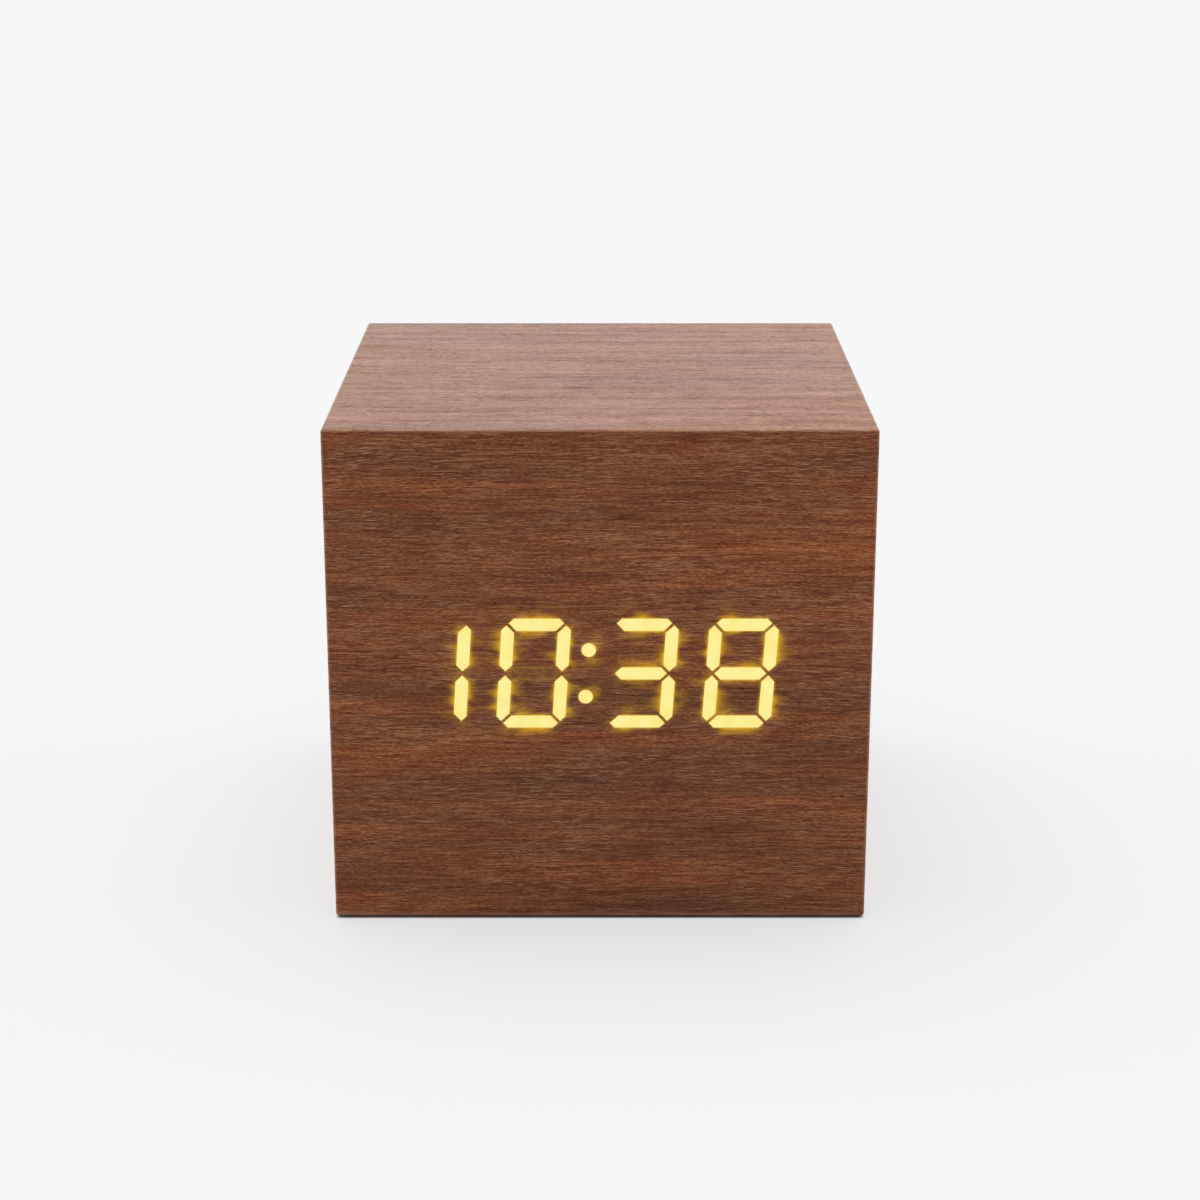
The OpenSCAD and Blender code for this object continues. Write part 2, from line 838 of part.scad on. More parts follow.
module rear_cover() {
    color("black") difference() {
        union() {
            along_y(cover_back, cover_face)
                round_rect([-cover_x, cover_low], [cover_x, cover_high], cover_corner_r);
            block(
                [-bay_x - bay_wall, bay_floor - bay_wall, bay_low - bay_wall],
                [bay_x + bay_wall, door_back - door_seat_gap, bay_high + bay_wall]
            );
            skirts();
            for (x = [-boss_x, boss_x])
                rod_y(key_board_rear, cover_back, boss_d, x, key_z);
        }
        bay_hollow();
        door_opening();
        for (x = [-1, 1], z = [screw_low, screw_high])
            countersink(x * screw_x, z);
        for (x = button_x)
            rod_y(cover_back - through, cover_face + through, button_d + 2 * button_gap, x, key_z);
        for (x = [-boss_x, boss_x])
            rod_y(
                key_board_rear - through, key_board_rear + boss_grip,
                board_screw_d + 2 * screw_fit, x, key_z
            );
        along_y(cover_back - through, cover_face + through)
            translate([usb_x, key_z]) usb_outline(-usb_hole_gap);
        sound_slots();
    }
}

// Tabs beside the glue blocks that centre the cover between the top and bottom panels
module skirts() {
    outer = cavity_x - block_w - block_gap;
    for (x = [outer - skirt_w, -outer], z = [cover_low, cover_high - skirt_t])
        block([x, cover_back - skirt_l, z], [x + skirt_w, cover_back, z + skirt_t]);
}

// Room for the cells, less the scalloped ribs that they lie on
module bay_hollow() {
    difference() {
        block([-bay_x, bay_floor, bay_low], [bay_x, cover_face, bay_high]);
        for (x = [-1, 1])
            translate([x * cell_l / 4 - cradle_t / 2, bay_floor - through, bay_low]) difference() {
                cube([cradle_t, cradle_h + through, bay_high - bay_low]);
                for (z = cell_z)
                    rod_x(
                        -through, cradle_t + through, cell_d + 2 * cell_clear,
                        cell_y - bay_floor + through, z - bay_low
                    );
            }
    }
    for (end = [[-1, cell_z[0]], [1, cell_z[2]]])
        translate([end[0] * (bay_x - contact_t / 2), bay_floor - bay_wall / 2, end[1]])
            cube([contact_t + 2 * tail_gap, bay_wall + 2 * through, tail_w + 2 * tail_gap], center = true);
}

// Seat of the door, its hinge bores and the fingernail notch above it
module door_opening() {
    x = door_x + door_gap;
    block(
        [-x, door_back - door_seat_gap, door_low - door_gap],
        [x, cover_face + through, door_high + door_gap]
    );
    rod_x(-x - hinge_pin_l, x + hinge_pin_l, hinge_pin_d + 2 * hinge_fit, hinge_y, hinge_z);
    along_y(cover_face - notch_depth, cover_face + through)
        round_rect(
            [-notch_w / 2, door_high - notch_h], [notch_w / 2, door_high + door_gap + notch_h], notch_h / 2
        );
}

module countersink(x, z) {
    hole_d = cover_screw_d + 2 * screw_fit;
    head_d = cover_head_d + 2 * screw_fit;
    head_h = (head_d - hole_d) / 2;
    translate([x, cover_face, z]) rotate([90, 0, 0]) {
        translate([0, 0, -through]) cylinder(h = cover_t + 2 * through, d = hole_d);
        cylinder(h = head_h, d1 = head_d, d2 = hole_d);
    }
}

module rear_cover_screws() {
    head_h = (cover_head_d - cover_screw_d) / 2;
    color("dimgray") for (x = [-1, 1], z = [screw_low, screw_high]) difference() {
        translate([x * screw_x, cover_face, z]) rotate([90, 0, 0]) {
            cylinder(h = cover_screw_l, d = cover_screw_d);
            cylinder(h = head_h, d1 = cover_head_d, d2 = cover_screw_d);
        }
        cross_recess(x * screw_x, cover_face, z, cover_head_d * recess_share, -1);
    }
}

module sound_slots() {
    middle = (cover_low + bay_low - bay_wall) / 2;
    for (i = [0 : slot_count - 1])
        along_y(cover_back - through, cover_face + through)
            translate([(i - (slot_count - 1) / 2) * slot_pitch, middle])
                slot_outline();
}

module slot_outline() {
    straight = slot_h - slot_w;
    square([slot_w, straight], center = true);
    for (side = [-1, 1])
        translate([0, side * straight / 2]) circle(d = slot_w);
}

// Battery bay

module battery_cell(i) {
    minus_end = -cell_plus[i] * (bay_x - contact_t - spring_l);
    shoulder = minus_end + cell_plus[i] * (cell_l - nub_l);
    plus_end = minus_end + cell_plus[i] * cell_l;
    color("slategray") {
        rod_x(min(minus_end, shoulder), max(minus_end, shoulder), cell_d, cell_y, cell_z[i]);
        rod_x(min(shoulder, plus_end), max(shoulder, plus_end), nub_d, cell_y, cell_z[i]);
    }
}

// Plates against the end walls: two bridge neighbouring cells, and two single ones have solder tails
module contact_plates() {
    color("silver") {
        contact_plate(1, [cell_z[0], cell_z[1]]);
        contact_plate(-1, [cell_z[1], cell_z[2]]);
        contact_plate(-1, [cell_z[0]]);
        contact_plate(1, [cell_z[2]]);
        contact_tail(-1, cell_z[0]);
        contact_tail(1, cell_z[2]);
    }
}

module contact_plate(side, heights) {
    low = min(heights) - contact_h / 2;
    high = max(heights) + contact_h / 2;
    outer = side * bay_x;
    inner = side * (bay_x - contact_t);
    block(
        [min(outer, inner), cell_y - contact_w / 2, low],
        [max(outer, inner), cell_y + contact_w / 2, high]
    );
}

module contact_tail(side, z) {
    outer = side * bay_x;
    inner = side * (bay_x - contact_t);
    block(
        [min(outer, inner), tail_end, z - tail_w / 2],
        [max(outer, inner), cell_y - contact_w / 2, z + tail_w / 2]
    );
}

// Tapered coil from a plate to a cell's flat end, with a straight run at each end
function spring_path() = let (
    rings = spring_turns * 8,
    run = spring_wire,
    coil_l = spring_l - 2 * run
) concat(
    [[0, spring_r, 0]],
    [
        for (i = [0 : rings]) let (
            t = i / rings, r = spring_r - spring_taper * t, angle = 360 * spring_turns * t
        ) [run + coil_l * t, r * cos(angle), r * sin(angle)]
    ],
    [[spring_l, spring_r - spring_taper, 0]]
);

function least_gap(path, d, apart) = min([
    for (i = [0 : len(path) - 1], j = [0 : len(path) - 1])
        if (j - i >= apart) norm(path[i] - path[j])
]) - d;

module contact_springs() {
    path = spring_path();
    echo(spring_least_gap = least_gap(path, spring_wire, 5));
    color("silver") for (i = [0 : 2])
        translate([-cell_plus[i] * (bay_x - contact_t), cell_y, cell_z[i]])
            rotate([0, 0, cell_plus[i] > 0 ? 0 : 180])
                tube(path, spring_wire, 6, [0, 0, 1]);
}

// Battery door: a plate with a round hinge edge, two hinge pins, a snap tongue and ribs between the cells
module battery_door() {
    color("black") difference() {
        union() {
            along_x(-door_x, door_x) {
                translate([door_back, hinge_z]) square([door_t, door_high - hinge_z]);
                translate([hinge_y, hinge_z]) circle(d = door_t);
            }
            rod_x(-door_x - hinge_pin_l, door_x + hinge_pin_l, hinge_pin_d, hinge_y, hinge_z);
            for (i = [0, 1])
                door_rib((cell_z[i] + cell_z[i + 1]) / 2);
        }
        for (side = [-1, 1])
            translate([side * (tongue_w + tongue_slot) / 2, hinge_y, door_high - tongue_l / 2])
                cube([tongue_slot, door_t + 2 * through, tongue_l + through], center = true);
        for (i = [0 : grip_count - 1])
            rod_x(
                grip_inset - tongue_w / 2, tongue_w / 2 - grip_inset, grip_d,
                cover_face, door_high - grip_start - i * grip_pitch
            );
    }
}

module door_rib(z) {
    x = bay_x - door_rib_inset;
    block([-x, door_back - door_rib_h, z - door_rib_t / 2], [x, door_back, z + door_rib_t / 2]);
}

veneer_wrap();
base_veneer();
front_panel();
top_panel();
bottom_panel();
left_panel();
right_panel();
corner_blocks();
display_reflector();
lit_segments();
unlit_segments();
colon_dots();
segment_leds();
display_board();
display_board_screws();
clock_chip();
driver_chip();
crystal();
buzzer();
capacitor();
ribbon_plug_display();
ribbon_plug_keys();
ribbon_cable();
power_plug();
battery_lead_minus();
battery_lead_plus();
key_board();
key_board_screws();
tact_switches();
plunger(0);  // plunger_set
plunger(1);  // plunger_up
plunger(2);  // plunger_down
button(0);  // button_set
button(1);  // button_up
button(2);  // button_down
usb_shell();
usb_tongue();
rear_cover();
rear_cover_screws();
battery_cell(0);  // battery_cell_1
battery_cell(1);  // battery_cell_2
battery_cell(2);  // battery_cell_3
contact_plates();
contact_springs();
battery_door();
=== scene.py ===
import math

import bmesh
import bpy
import numpy as np
from mathutils import Matrix, Vector


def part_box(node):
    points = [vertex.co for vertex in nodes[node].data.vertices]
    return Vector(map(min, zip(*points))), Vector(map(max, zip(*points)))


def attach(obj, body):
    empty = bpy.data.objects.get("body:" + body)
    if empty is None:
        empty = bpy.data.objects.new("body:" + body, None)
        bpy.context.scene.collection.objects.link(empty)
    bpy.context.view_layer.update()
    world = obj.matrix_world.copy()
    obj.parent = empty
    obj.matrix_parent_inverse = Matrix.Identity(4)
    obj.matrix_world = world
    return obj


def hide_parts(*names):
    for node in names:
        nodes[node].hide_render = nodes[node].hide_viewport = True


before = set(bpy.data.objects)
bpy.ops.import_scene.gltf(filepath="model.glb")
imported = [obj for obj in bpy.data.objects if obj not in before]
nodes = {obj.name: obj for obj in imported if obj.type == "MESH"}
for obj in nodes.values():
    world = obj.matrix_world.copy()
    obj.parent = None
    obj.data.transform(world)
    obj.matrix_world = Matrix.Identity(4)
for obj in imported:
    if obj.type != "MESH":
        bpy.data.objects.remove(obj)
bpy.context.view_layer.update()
mm = 0.001
mergeGap = 0.001 * mm               # points closer than this are one
creaseAngle = math.radians(40)      # sharper edges stay hard
print("frame loaded:", len(nodes), "solids")


# small helpers for shader trees
def addNode(tree, kind, settings=None, values=None):
    node = tree.nodes.new(kind)
    for key, value in (settings or {}).items():
        setattr(node, key, value)
    for key, value in (values or {}).items():
        node.inputs[key].default_value = value
    return node


def math2(tree, operation, a, b, clamp=False):
    node = addNode(tree, "ShaderNodeMath", {"operation": operation, "use_clamp": clamp})
    for socket, value in zip(node.inputs, (a, b)):
        if isinstance(value, (int, float)):
            socket.default_value = value
        else:
            tree.links.new(value, socket)
    return node.outputs[0]


# sum of named values, each times its share
def weighted(tree, values, shares):
    total = None
    for name, share in shares.items():
        part = math2(tree, "MULTIPLY", values[name], share)
        total = part if total is None else math2(tree, "ADD", total, part)
    return total


# the same for noises, about zero
def swingOf(tree, noises, shares):
    values = {name: node.outputs["Fac"] for name, node in noises.items()}
    return math2(tree, "SUBTRACT", weighted(tree, values, shares), sum(shares.values()) / 2)


def rampOf(tree, fac, stops):
    node = addNode(tree, "ShaderNodeValToRGB")
    ramp = node.color_ramp
    while len(ramp.elements) < len(stops):
        ramp.elements.new(0.5)
    for element, (place, color) in zip(ramp.elements, stops):
        element.position = place
        element.color = (*color, 1)
    tree.links.new(fac, node.inputs["Fac"])
    return node.outputs["Color"]


def stepOf(tree, value, low, high):
    node = addNode(tree, "ShaderNodeMapRange", {"clamp": True}, {"From Min": low, "From Max": high})
    tree.links.new(value, node.inputs["Value"])
    return node.outputs["Result"]


def blendColor(tree, fac, a, b, way="MIX"):
    node = addNode(tree, "ShaderNodeMix", {"data_type": "RGBA", "blend_type": way})
    sockets = [s for s in node.inputs if s.enabled]
    for socket, value in zip(sockets, (fac, a, b)):
        if isinstance(value, (int, float)):
            socket.default_value = value
        elif isinstance(value, tuple):
            socket.default_value = (*value, 1)
        else:
            tree.links.new(value, socket)
    return next(s for s in node.outputs if s.enabled)


def scaledColor(tree, color, gain):
    node = addNode(tree, "ShaderNodeVectorMath", {"operation": "SCALE"})
    tree.links.new(color, node.inputs[0])
    tree.links.new(gain, node.inputs["Scale"])
    return node.outputs[0]


sideShift = 1.7      # how far a layer moves across the grain for each step along it


# noise drawn out along the grain: long is along u, across is along v
def grainNoise(tree, vector, longSize, acrossSize, detail, shift, turn=0.0):
    place = addNode(tree, "ShaderNodeMapping", values={
        "Location": (shift, shift * sideShift, 0), "Rotation": (0, 0, turn),
        "Scale": (1 / longSize, 1 / acrossSize, 1)})
    noise = addNode(tree, "ShaderNodeTexNoise", {"noise_dimensions": "2D"}, {
        "Scale": 1.0, "Detail": detail})
    tree.links.new(vector, place.inputs["Vector"])
    tree.links.new(place.outputs["Vector"], noise.inputs["Vector"])
    return noise.outputs["Fac"]


skinOutputs = {"Color": "NodeSocketColor", "Rough": "NodeSocketFloat", "Height": "NodeSocketFloat"}


# a shared skin: from a place to a colour, a roughness and a height
def newSkin(name, inputs=()):
    tree = bpy.data.node_groups.new(name, "ShaderNodeTree")
    tree.interface.new_socket("Vector", in_out="INPUT", socket_type="NodeSocketVector")
    for label, kind, value in inputs:
        tree.interface.new_socket(label, in_out="INPUT", socket_type=kind).default_value = value
    for label, kind in skinOutputs.items():
        tree.interface.new_socket(label, in_out="OUTPUT", socket_type=kind)
    return tree, tree.nodes.new("NodeGroupInput"), tree.nodes.new("NodeGroupOutput")


def endSkin(tree, end, color, rough, height):
    for label, socket in zip(skinOutputs, (color, rough, height)):
        tree.links.new(socket, end.inputs[label])
    return tree


# each layer's size along and across the grain, its detail and its place
grainLayers = {
    "broad": (90 * mm, 7.5 * mm, 1.0, 31.3),
    "band": (34 * mm, 1.9 * mm, 2.0, 11.3),
    "warmth": (60 * mm, 3.4 * mm, 2.0, 21.7),
    "patch": (14 * mm, 5 * mm, 1.0, 41.9),
}
fineLayers = {
    "streak": (14 * mm, 0.40 * mm, 1.0, 5.7),
    "fibre": (4.2 * mm, 0.16 * mm, 1.0, 8.9),
    "speck": (0.60 * mm, 0.12 * mm, 0.0, 27.3),
    "pore": (0.9 * mm, 0.11 * mm, 0.0, 13.1),
    "fleck": (2.2 * mm, 0.09 * mm, 0.0, 17.9),
}
# Share says how much of each layer counts, and From is the noise's range over which a mask rises
walnutLook = {
    "wander": (26 * mm, 8 * mm, 1.0, 3.1), "sway": 0.4 * mm,      # how the grain wanders, and how far
    "turn": math.radians(35),      # turns the fine noise in its own cells, so that they don't line up
    "fineShare": {"fibre": 0.44, "streak": 0.24, "speck": 0.32},
    "fineRamp": [(0.35, (0.136, 0.0240, 0.0020)), (0.50, (0.241, 0.0605, 0.0140)),
                 (0.65, (0.392, 0.1500, 0.0590))],
    "bandShare": {"band": 0.55, "broad": 0.45},
    "bandRamp": [(0.36, (0.80, 0.79, 0.83)), (0.50, (1, 1, 1)), (0.64, (1.22, 1.19, 1.10))],
    "warm": (1.10, 1.01, 0.88), "warmFrom": (0.48, 0.66),         # reddish bands
    "dusk": (0.93, 0.94, 0.98), "duskFrom": (0.50, 0.34),         # greyish bands
    "pore": (0.50, 0.45, 0.45), "poreFrom": (0.64, 0.74),
    "fleck": (0.50, 0.255, 0.140), "fleckFrom": (0.69, 0.77), "patchFrom": (0.42, 0.56),
    "marked": 0.8,                 # strength of the pores and the flecks
    "dull": 1.20, "dullShare": {"fine": -1.5, "band": -0.5, "pit": 0.3},      # dark fibres are duller
    "relief": 0.016 * mm, "heightShare": {"fibre": 0.9, "streak": 0.6, "pit": -0.6},
    "topSheen": (1.0, 1.04, 0.88),      # painted tint of the top's sheen, from how the light falls on the top
}


# u runs along the grain and v across it
def makeWalnutFigure():
    tree, start, end = newSkin("walnutFigure")
    look = walnutLook
    vector = start.outputs["Vector"]
    wander = math2(tree, "SUBTRACT", grainNoise(tree, vector, *look["wander"]), 0.5)
    offset = addNode(tree, "ShaderNodeCombineXYZ")
    tree.links.new(math2(tree, "MULTIPLY", wander, 2 * look["sway"]), offset.inputs["Y"])
    swayed = addNode(tree, "ShaderNodeVectorMath", {"operation": "ADD"})
    tree.links.new(vector, swayed.inputs[0])
    tree.links.new(offset.outputs[0], swayed.inputs[1])
    vector = swayed.outputs[0]

    layer = {name: grainNoise(tree, vector, *size) for name, size in grainLayers.items()}
    for name, size in fineLayers.items():
        layer[name] = grainNoise(tree, vector, *size, look["turn"])
    layer["fine"] = weighted(tree, layer, look["fineShare"])
    layer["pit"] = stepOf(tree, layer["pore"], *look["poreFrom"])

    color = rampOf(tree, layer["fine"], look["fineRamp"])
    gain = rampOf(tree, weighted(tree, layer, look["bandShare"]), look["bandRamp"])
    color = blendColor(tree, 1.0, color, gain, "MULTIPLY")
    for tone in ("warm", "dusk"):
        mask = stepOf(tree, layer["warmth"], *look[tone + "From"])
        color = blendColor(tree, mask, color, look[tone], "MULTIPLY")
    mask = math2(tree, "MULTIPLY", layer["pit"], look["marked"])
    color = blendColor(tree, mask, color, look["pore"], "MULTIPLY")
    mask = math2(tree, "MULTIPLY", stepOf(tree, layer["fleck"], *look["fleckFrom"]),
                 stepOf(tree, layer["patch"], *look["patchFrom"]))
    color = blendColor(tree, math2(tree, "MULTIPLY", mask, look["marked"]), color, look["fleck"])

    rough = math2(tree, "ADD", weighted(tree, layer, look["dullShare"]), look["dull"], clamp=True)
    return endSkin(tree, end, color, rough, weighted(tree, layer, look["heightShare"]))


mouldedLook = {"broadScale": 140.0, "share": {"broad": 1.0, "fine": 0.6}, "roughSwing": 0.25}


# moulded plastic, rubber and lacquer: soft mottling and a fine spark-eroded skin
def makeMouldedSkin():
    tree, start, end = newSkin("mouldedSkin", [
        ("Color", "NodeSocketColor", (0.5, 0.5, 0.5, 1)), ("Size", "NodeSocketFloat", 0.3 * mm),
        ("Rough", "NodeSocketFloat", 0.5), ("Mottle", "NodeSocketFloat", 0.2)])
    look = mouldedLook
    fine = addNode(tree, "ShaderNodeTexNoise", {}, {"Detail": 2.0, "Roughness": 0.6})
    broad = addNode(tree, "ShaderNodeTexNoise", {}, {"Scale": look["broadScale"], "Detail": 3.0})
    tree.links.new(math2(tree, "DIVIDE", 1.0, start.outputs["Size"]), fine.inputs["Scale"])
    for noise in (fine, broad):
        tree.links.new(start.outputs["Vector"], noise.inputs["Vector"])
    swing = swingOf(tree, {"broad": broad, "fine": fine}, look["share"])
    gain = math2(tree, "ADD", math2(tree, "MULTIPLY", swing, start.outputs["Mottle"]), 1.0)
    color = scaledColor(tree, start.outputs["Color"], gain)
    duller = math2(tree, "MULTIPLY", swing, look["roughSwing"])
    rough = math2(tree, "ADD", start.outputs["Rough"], duller, clamp=True)
    return endSkin(tree, end, color, rough, fine.outputs["Fac"])


metalLook = {
    "lineScale": (300, 5200, 5200), "patchScale": 420.0, "share": {"lines": 0.25, "patches": 0.25},
    "relief": 0.004 * mm,
}


# plated and drawn metal: faint draw lines along X and dull patches
def makeDrawnMetal():
    tree, start, end = newSkin("drawnMetal", [
        ("Color", "NodeSocketColor", (0.6, 0.6, 0.6, 1)), ("Rough", "NodeSocketFloat", 0.3)])
    look = metalLook
    place = addNode(tree, "ShaderNodeMapping", values={"Scale": look["lineScale"]})
    lines = addNode(tree, "ShaderNodeTexNoise", {}, {"Scale": 1.0, "Detail": 2.0})
    patches = addNode(tree, "ShaderNodeTexNoise", {}, {"Scale": look["patchScale"], "Detail": 2.0})
    tree.links.new(start.outputs["Vector"], place.inputs["Vector"])
    tree.links.new(place.outputs["Vector"], lines.inputs["Vector"])
    tree.links.new(start.outputs["Vector"], patches.inputs["Vector"])
    swing = swingOf(tree, {"lines": lines, "patches": patches}, look["share"])
    color = scaledColor(tree, start.outputs["Color"], math2(tree, "ADD", swing, 1.0))
    rough = math2(tree, "ADD", start.outputs["Rough"], swing, clamp=True)
    return endSkin(tree, end, color, rough, lines.outputs["Fac"])


groups = {"walnut": makeWalnutFigure(), "moulded": makeMouldedSkin(), "metal": makeDrawnMetal()}


def startMaterial(name):
    material = bpy.data.materials.new(name)
    material.use_nodes = True
    tree = material.node_tree
    return material, tree, tree.nodes["Principled BSDF"]


def objectPlace(tree):
    return addNode(tree, "ShaderNodeTexCoord").outputs["Object"]


def placeSkin(tree, key, vector, values=None):
    node = addNode(tree, "ShaderNodeGroup", {"node_tree": groups[key]}, values)
    tree.links.new(vector, node.inputs["Vector"])
    return node


def wearSkin(tree, skin, shader):
    tree.links.new(skin.outputs["Color"], shader.inputs["Base Color"])
    tree.links.new(skin.outputs["Rough"], shader.inputs["Roughness"])


def addBump(tree, shader, height, distance):
    bump = addNode(tree, "ShaderNodeBump", {}, {"Distance": distance, "Strength": 1.0})
    tree.links.new(height, bump.inputs["Height"])
    tree.links.new(bump.outputs["Normal"], shader.inputs["Normal"])


glowLook = {
    "halo": (0.44, 0.255, 0.0),      # light that spreads through the veneer
    "rim": (0.26, 0.150, 0.0),       # light at the edge of a segment
    "ghost": (0.092, 0.068, 0.0),    # stray light in the unlit segments
    "tint": (1.0, 0.95, 0.40),       # veneer seen through that light
    "least": 0.13, "spread": 0.55,   # reach of the light in mm, at dull and at bright places
    "dull": 0.28,                    # share of the light at dull places
    "patch": (3.6 * mm, 1.8 * mm, 1.0, 51.3), "brightFrom": (0.36, 0.66),
}
# rubbed edges, lightened with a painted highlight on the crests and a painted reflection of the floor
# along the foot: their colour, and the size and the range of the rubbed patches
rubHighlightLook = {"rubHighlight": (0.50, 0.290, 0.205), "patch": (5 * mm, 1.6 * mm, 2.0, 61.7), "rubHighlightFrom": (0.25, 0.65)}
sheenLook = {"level": 0.255, "tint": (0.98, 1.0, 0.93)}      # satin lacquer
underShadeLook = {"tone": (0.20, 0.18, 0.18), "gloss": 0.05}      # painted shade: the base sheet darkened to stand in for the shadow under the case


# the top's painted sheen tint, the rubbed edges with their painted highlight, and the light in the sheet,
# as its attributes give them
def addVeneerMarks(tree, shader, vector, color):
    away, rim, ghost, wornHighlight, topSheen = (
        addNode(tree, "ShaderNodeAttribute", {"attribute_name": key}).outputs["Fac"]
        for key in ("away", "rim", "ghost", "wornHighlight", "topSheen"))
    # painted sheen tint on the top
    color = blendColor(tree, topSheen, color, walnutLook["topSheen"], "MULTIPLY")
    rubHighlit = stepOf(tree, grainNoise(tree, vector, *rubHighlightLook["patch"]), *rubHighlightLook["rubHighlightFrom"])
    # painted highlight on the rubbed edge crests, and a painted reflection of the floor near the foot
    color = blendColor(tree, math2(tree, "MULTIPLY", wornHighlight, rubHighlit), color, rubHighlightLook["rubHighlight"])
    look = glowLook
    bright = stepOf(tree, grainNoise(tree, vector, *look["patch"]), *look["brightFrom"])
    reach = math2(tree, "ADD", math2(tree, "MULTIPLY", bright, look["spread"]), look["least"])
    halo = math2(tree, "POWER", math.exp(-1), math2(tree, "DIVIDE", away, reach))
    share = math2(tree, "ADD", math2(tree, "MULTIPLY", bright, 1 - look["dull"]), look["dull"])
    halo = math2(tree, "MULTIPLY", halo, share)
    glow = blendColor(tree, halo, (0, 0, 0), look["halo"])
    glow = blendColor(tree, rim, glow, look["rim"], "ADD")
    glow = blendColor(tree, ghost, glow, look["ghost"], "ADD")
    tree.links.new(glow, shader.inputs["Emission Color"])
    shader.inputs["Emission Strength"].default_value = 1.0
    return blendColor(tree, halo, color, look["tint"], "MULTIPLY")


def makeWalnut(name, lit):
    material, tree, shader = startMaterial(name)
    if lit:
        vector = addNode(tree, "ShaderNodeUVMap", {"uv_map": "grain"}).outputs["UV"]
    else:
        vector = objectPlace(tree)
    figure = placeSkin(tree, "walnut", vector)
    wearSkin(tree, figure, shader)
    if lit:
        color = addVeneerMarks(tree, shader, vector, figure.outputs["Color"])
    else:
        # painted shade: the base sheet is darkened as the shadow under the case
        color = blendColor(tree, 1.0, figure.outputs["Color"], underShadeLook["tone"], "MULTIPLY")
    tree.links.new(color, shader.inputs["Base Color"])
    shader.inputs["Specular IOR Level"].default_value = sheenLook["level"] if lit else underShadeLook["gloss"]
    shader.inputs["Specular Tint"].default_value = (*sheenLook["tint"], 1)
    addBump(tree, shader, figure.outputs["Height"], walnutLook["relief"])
    return material


litLook = {
    "core": (0.90, 0.80, 0.285), "deep": (0.89, 0.74, 0.205), "edge": (0.92, 0.76, 0.185),
    "lens": (0.10, 0.08, 0.03), "cloudScale": 420.0, "deepFrom": (0.40, 0.68),
    "rough": 0.4, "roughSwing": 0.2,
}


def makeLitAmber():
    material, tree, shader = startMaterial("litAmber")
    look = litLook
    noise = addNode(tree, "ShaderNodeTexNoise", {}, {"Scale": look["cloudScale"], "Detail": 2.0})
    tree.links.new(objectPlace(tree), noise.inputs["Vector"])
    cloud = noise.outputs["Fac"]
    core = addNode(tree, "ShaderNodeAttribute", {"attribute_name": "core"}).outputs["Fac"]
    body = blendColor(tree, stepOf(tree, cloud, *look["deepFrom"]), look["core"], look["deep"])
    tree.links.new(blendColor(tree, core, look["edge"], body), shader.inputs["Emission Color"])
    shader.inputs["Emission Strength"].default_value = 1.0
    shader.inputs["Base Color"].default_value = (*look["lens"], 1)
    rough = math2(tree, "ADD", math2(tree, "MULTIPLY", cloud, look["roughSwing"]), look["rough"])
    tree.links.new(rough, shader.inputs["Roughness"])
    return material


def makeMoulded(name, color, rough, size=0.3 * mm, mottle=0.25, relief=0.01 * mm):
    material, tree, shader = startMaterial(name)
    skin = placeSkin(tree, "moulded", objectPlace(tree), {
        "Color": (*color, 1), "Size": size, "Rough": rough, "Mottle": mottle})
    wearSkin(tree, skin, shader)
    addBump(tree, shader, skin.outputs["Height"], relief)
    return material


def makeMetal(name, color, rough):
    material, tree, shader = startMaterial(name)
    skin = placeSkin(tree, "metal", objectPlace(tree), {"Color": (*color, 1), "Rough": rough})
    wearSkin(tree, skin, shader)
    shader.inputs["Metallic"].default_value = 1.0
    addBump(tree, shader, skin.outputs["Height"], metalLook["relief"])
    return material


fibreboardLook = {
    "chipScale": 2600.0, "layerScale": 260.0, "share": {"chips": 0.7, "layers": 0.3},
    "ramp": [(0.38, (0.24, 0.15, 0.08)), (0.62, (0.43, 0.29, 0.165))],
    "rough": 0.72, "roughSwing": 0.2, "relief": 0.03 * mm,
}


def makeFibreboard():
    material, tree, shader = startMaterial("pressedFibre")
    look = fibreboardLook
    vector = objectPlace(tree)
    chips = addNode(tree, "ShaderNodeTexNoise", {}, {"Scale": look["chipScale"], "Detail": 3.0})
    layers = addNode(tree, "ShaderNodeTexNoise", {}, {"Scale": look["layerScale"], "Detail": 2.0})
    for noise in (chips, layers):
        tree.links.new(vector, noise.inputs["Vector"])
    values = {"chips": chips.outputs["Fac"], "layers": layers.outputs["Fac"]}
    mixed = weighted(tree, values, look["share"])
    tree.links.new(rampOf(tree, mixed, look["ramp"]), shader.inputs["Base Color"])
    rough = math2(tree, "ADD", math2(tree, "MULTIPLY", mixed, look["roughSwing"]), look["rough"])
    tree.links.new(rough, shader.inputs["Roughness"])
    addBump(tree, shader, chips.outputs["Fac"], look["relief"])
    return material


boardLook = {
    "mask": (0.012, 0.085, 0.035), "trace": (0.03, 0.17, 0.07), "traceWidth": 0.16 * mm,
    "traceLength": 4.2 * mm, "tracePitch": 0.9 * mm, "stagger": 0.37, "squash": 1.6,
    "grain": 0.5 * mm, "rough": 0.34, "mottle": 0.2, "relief": 0.02 * mm,
}


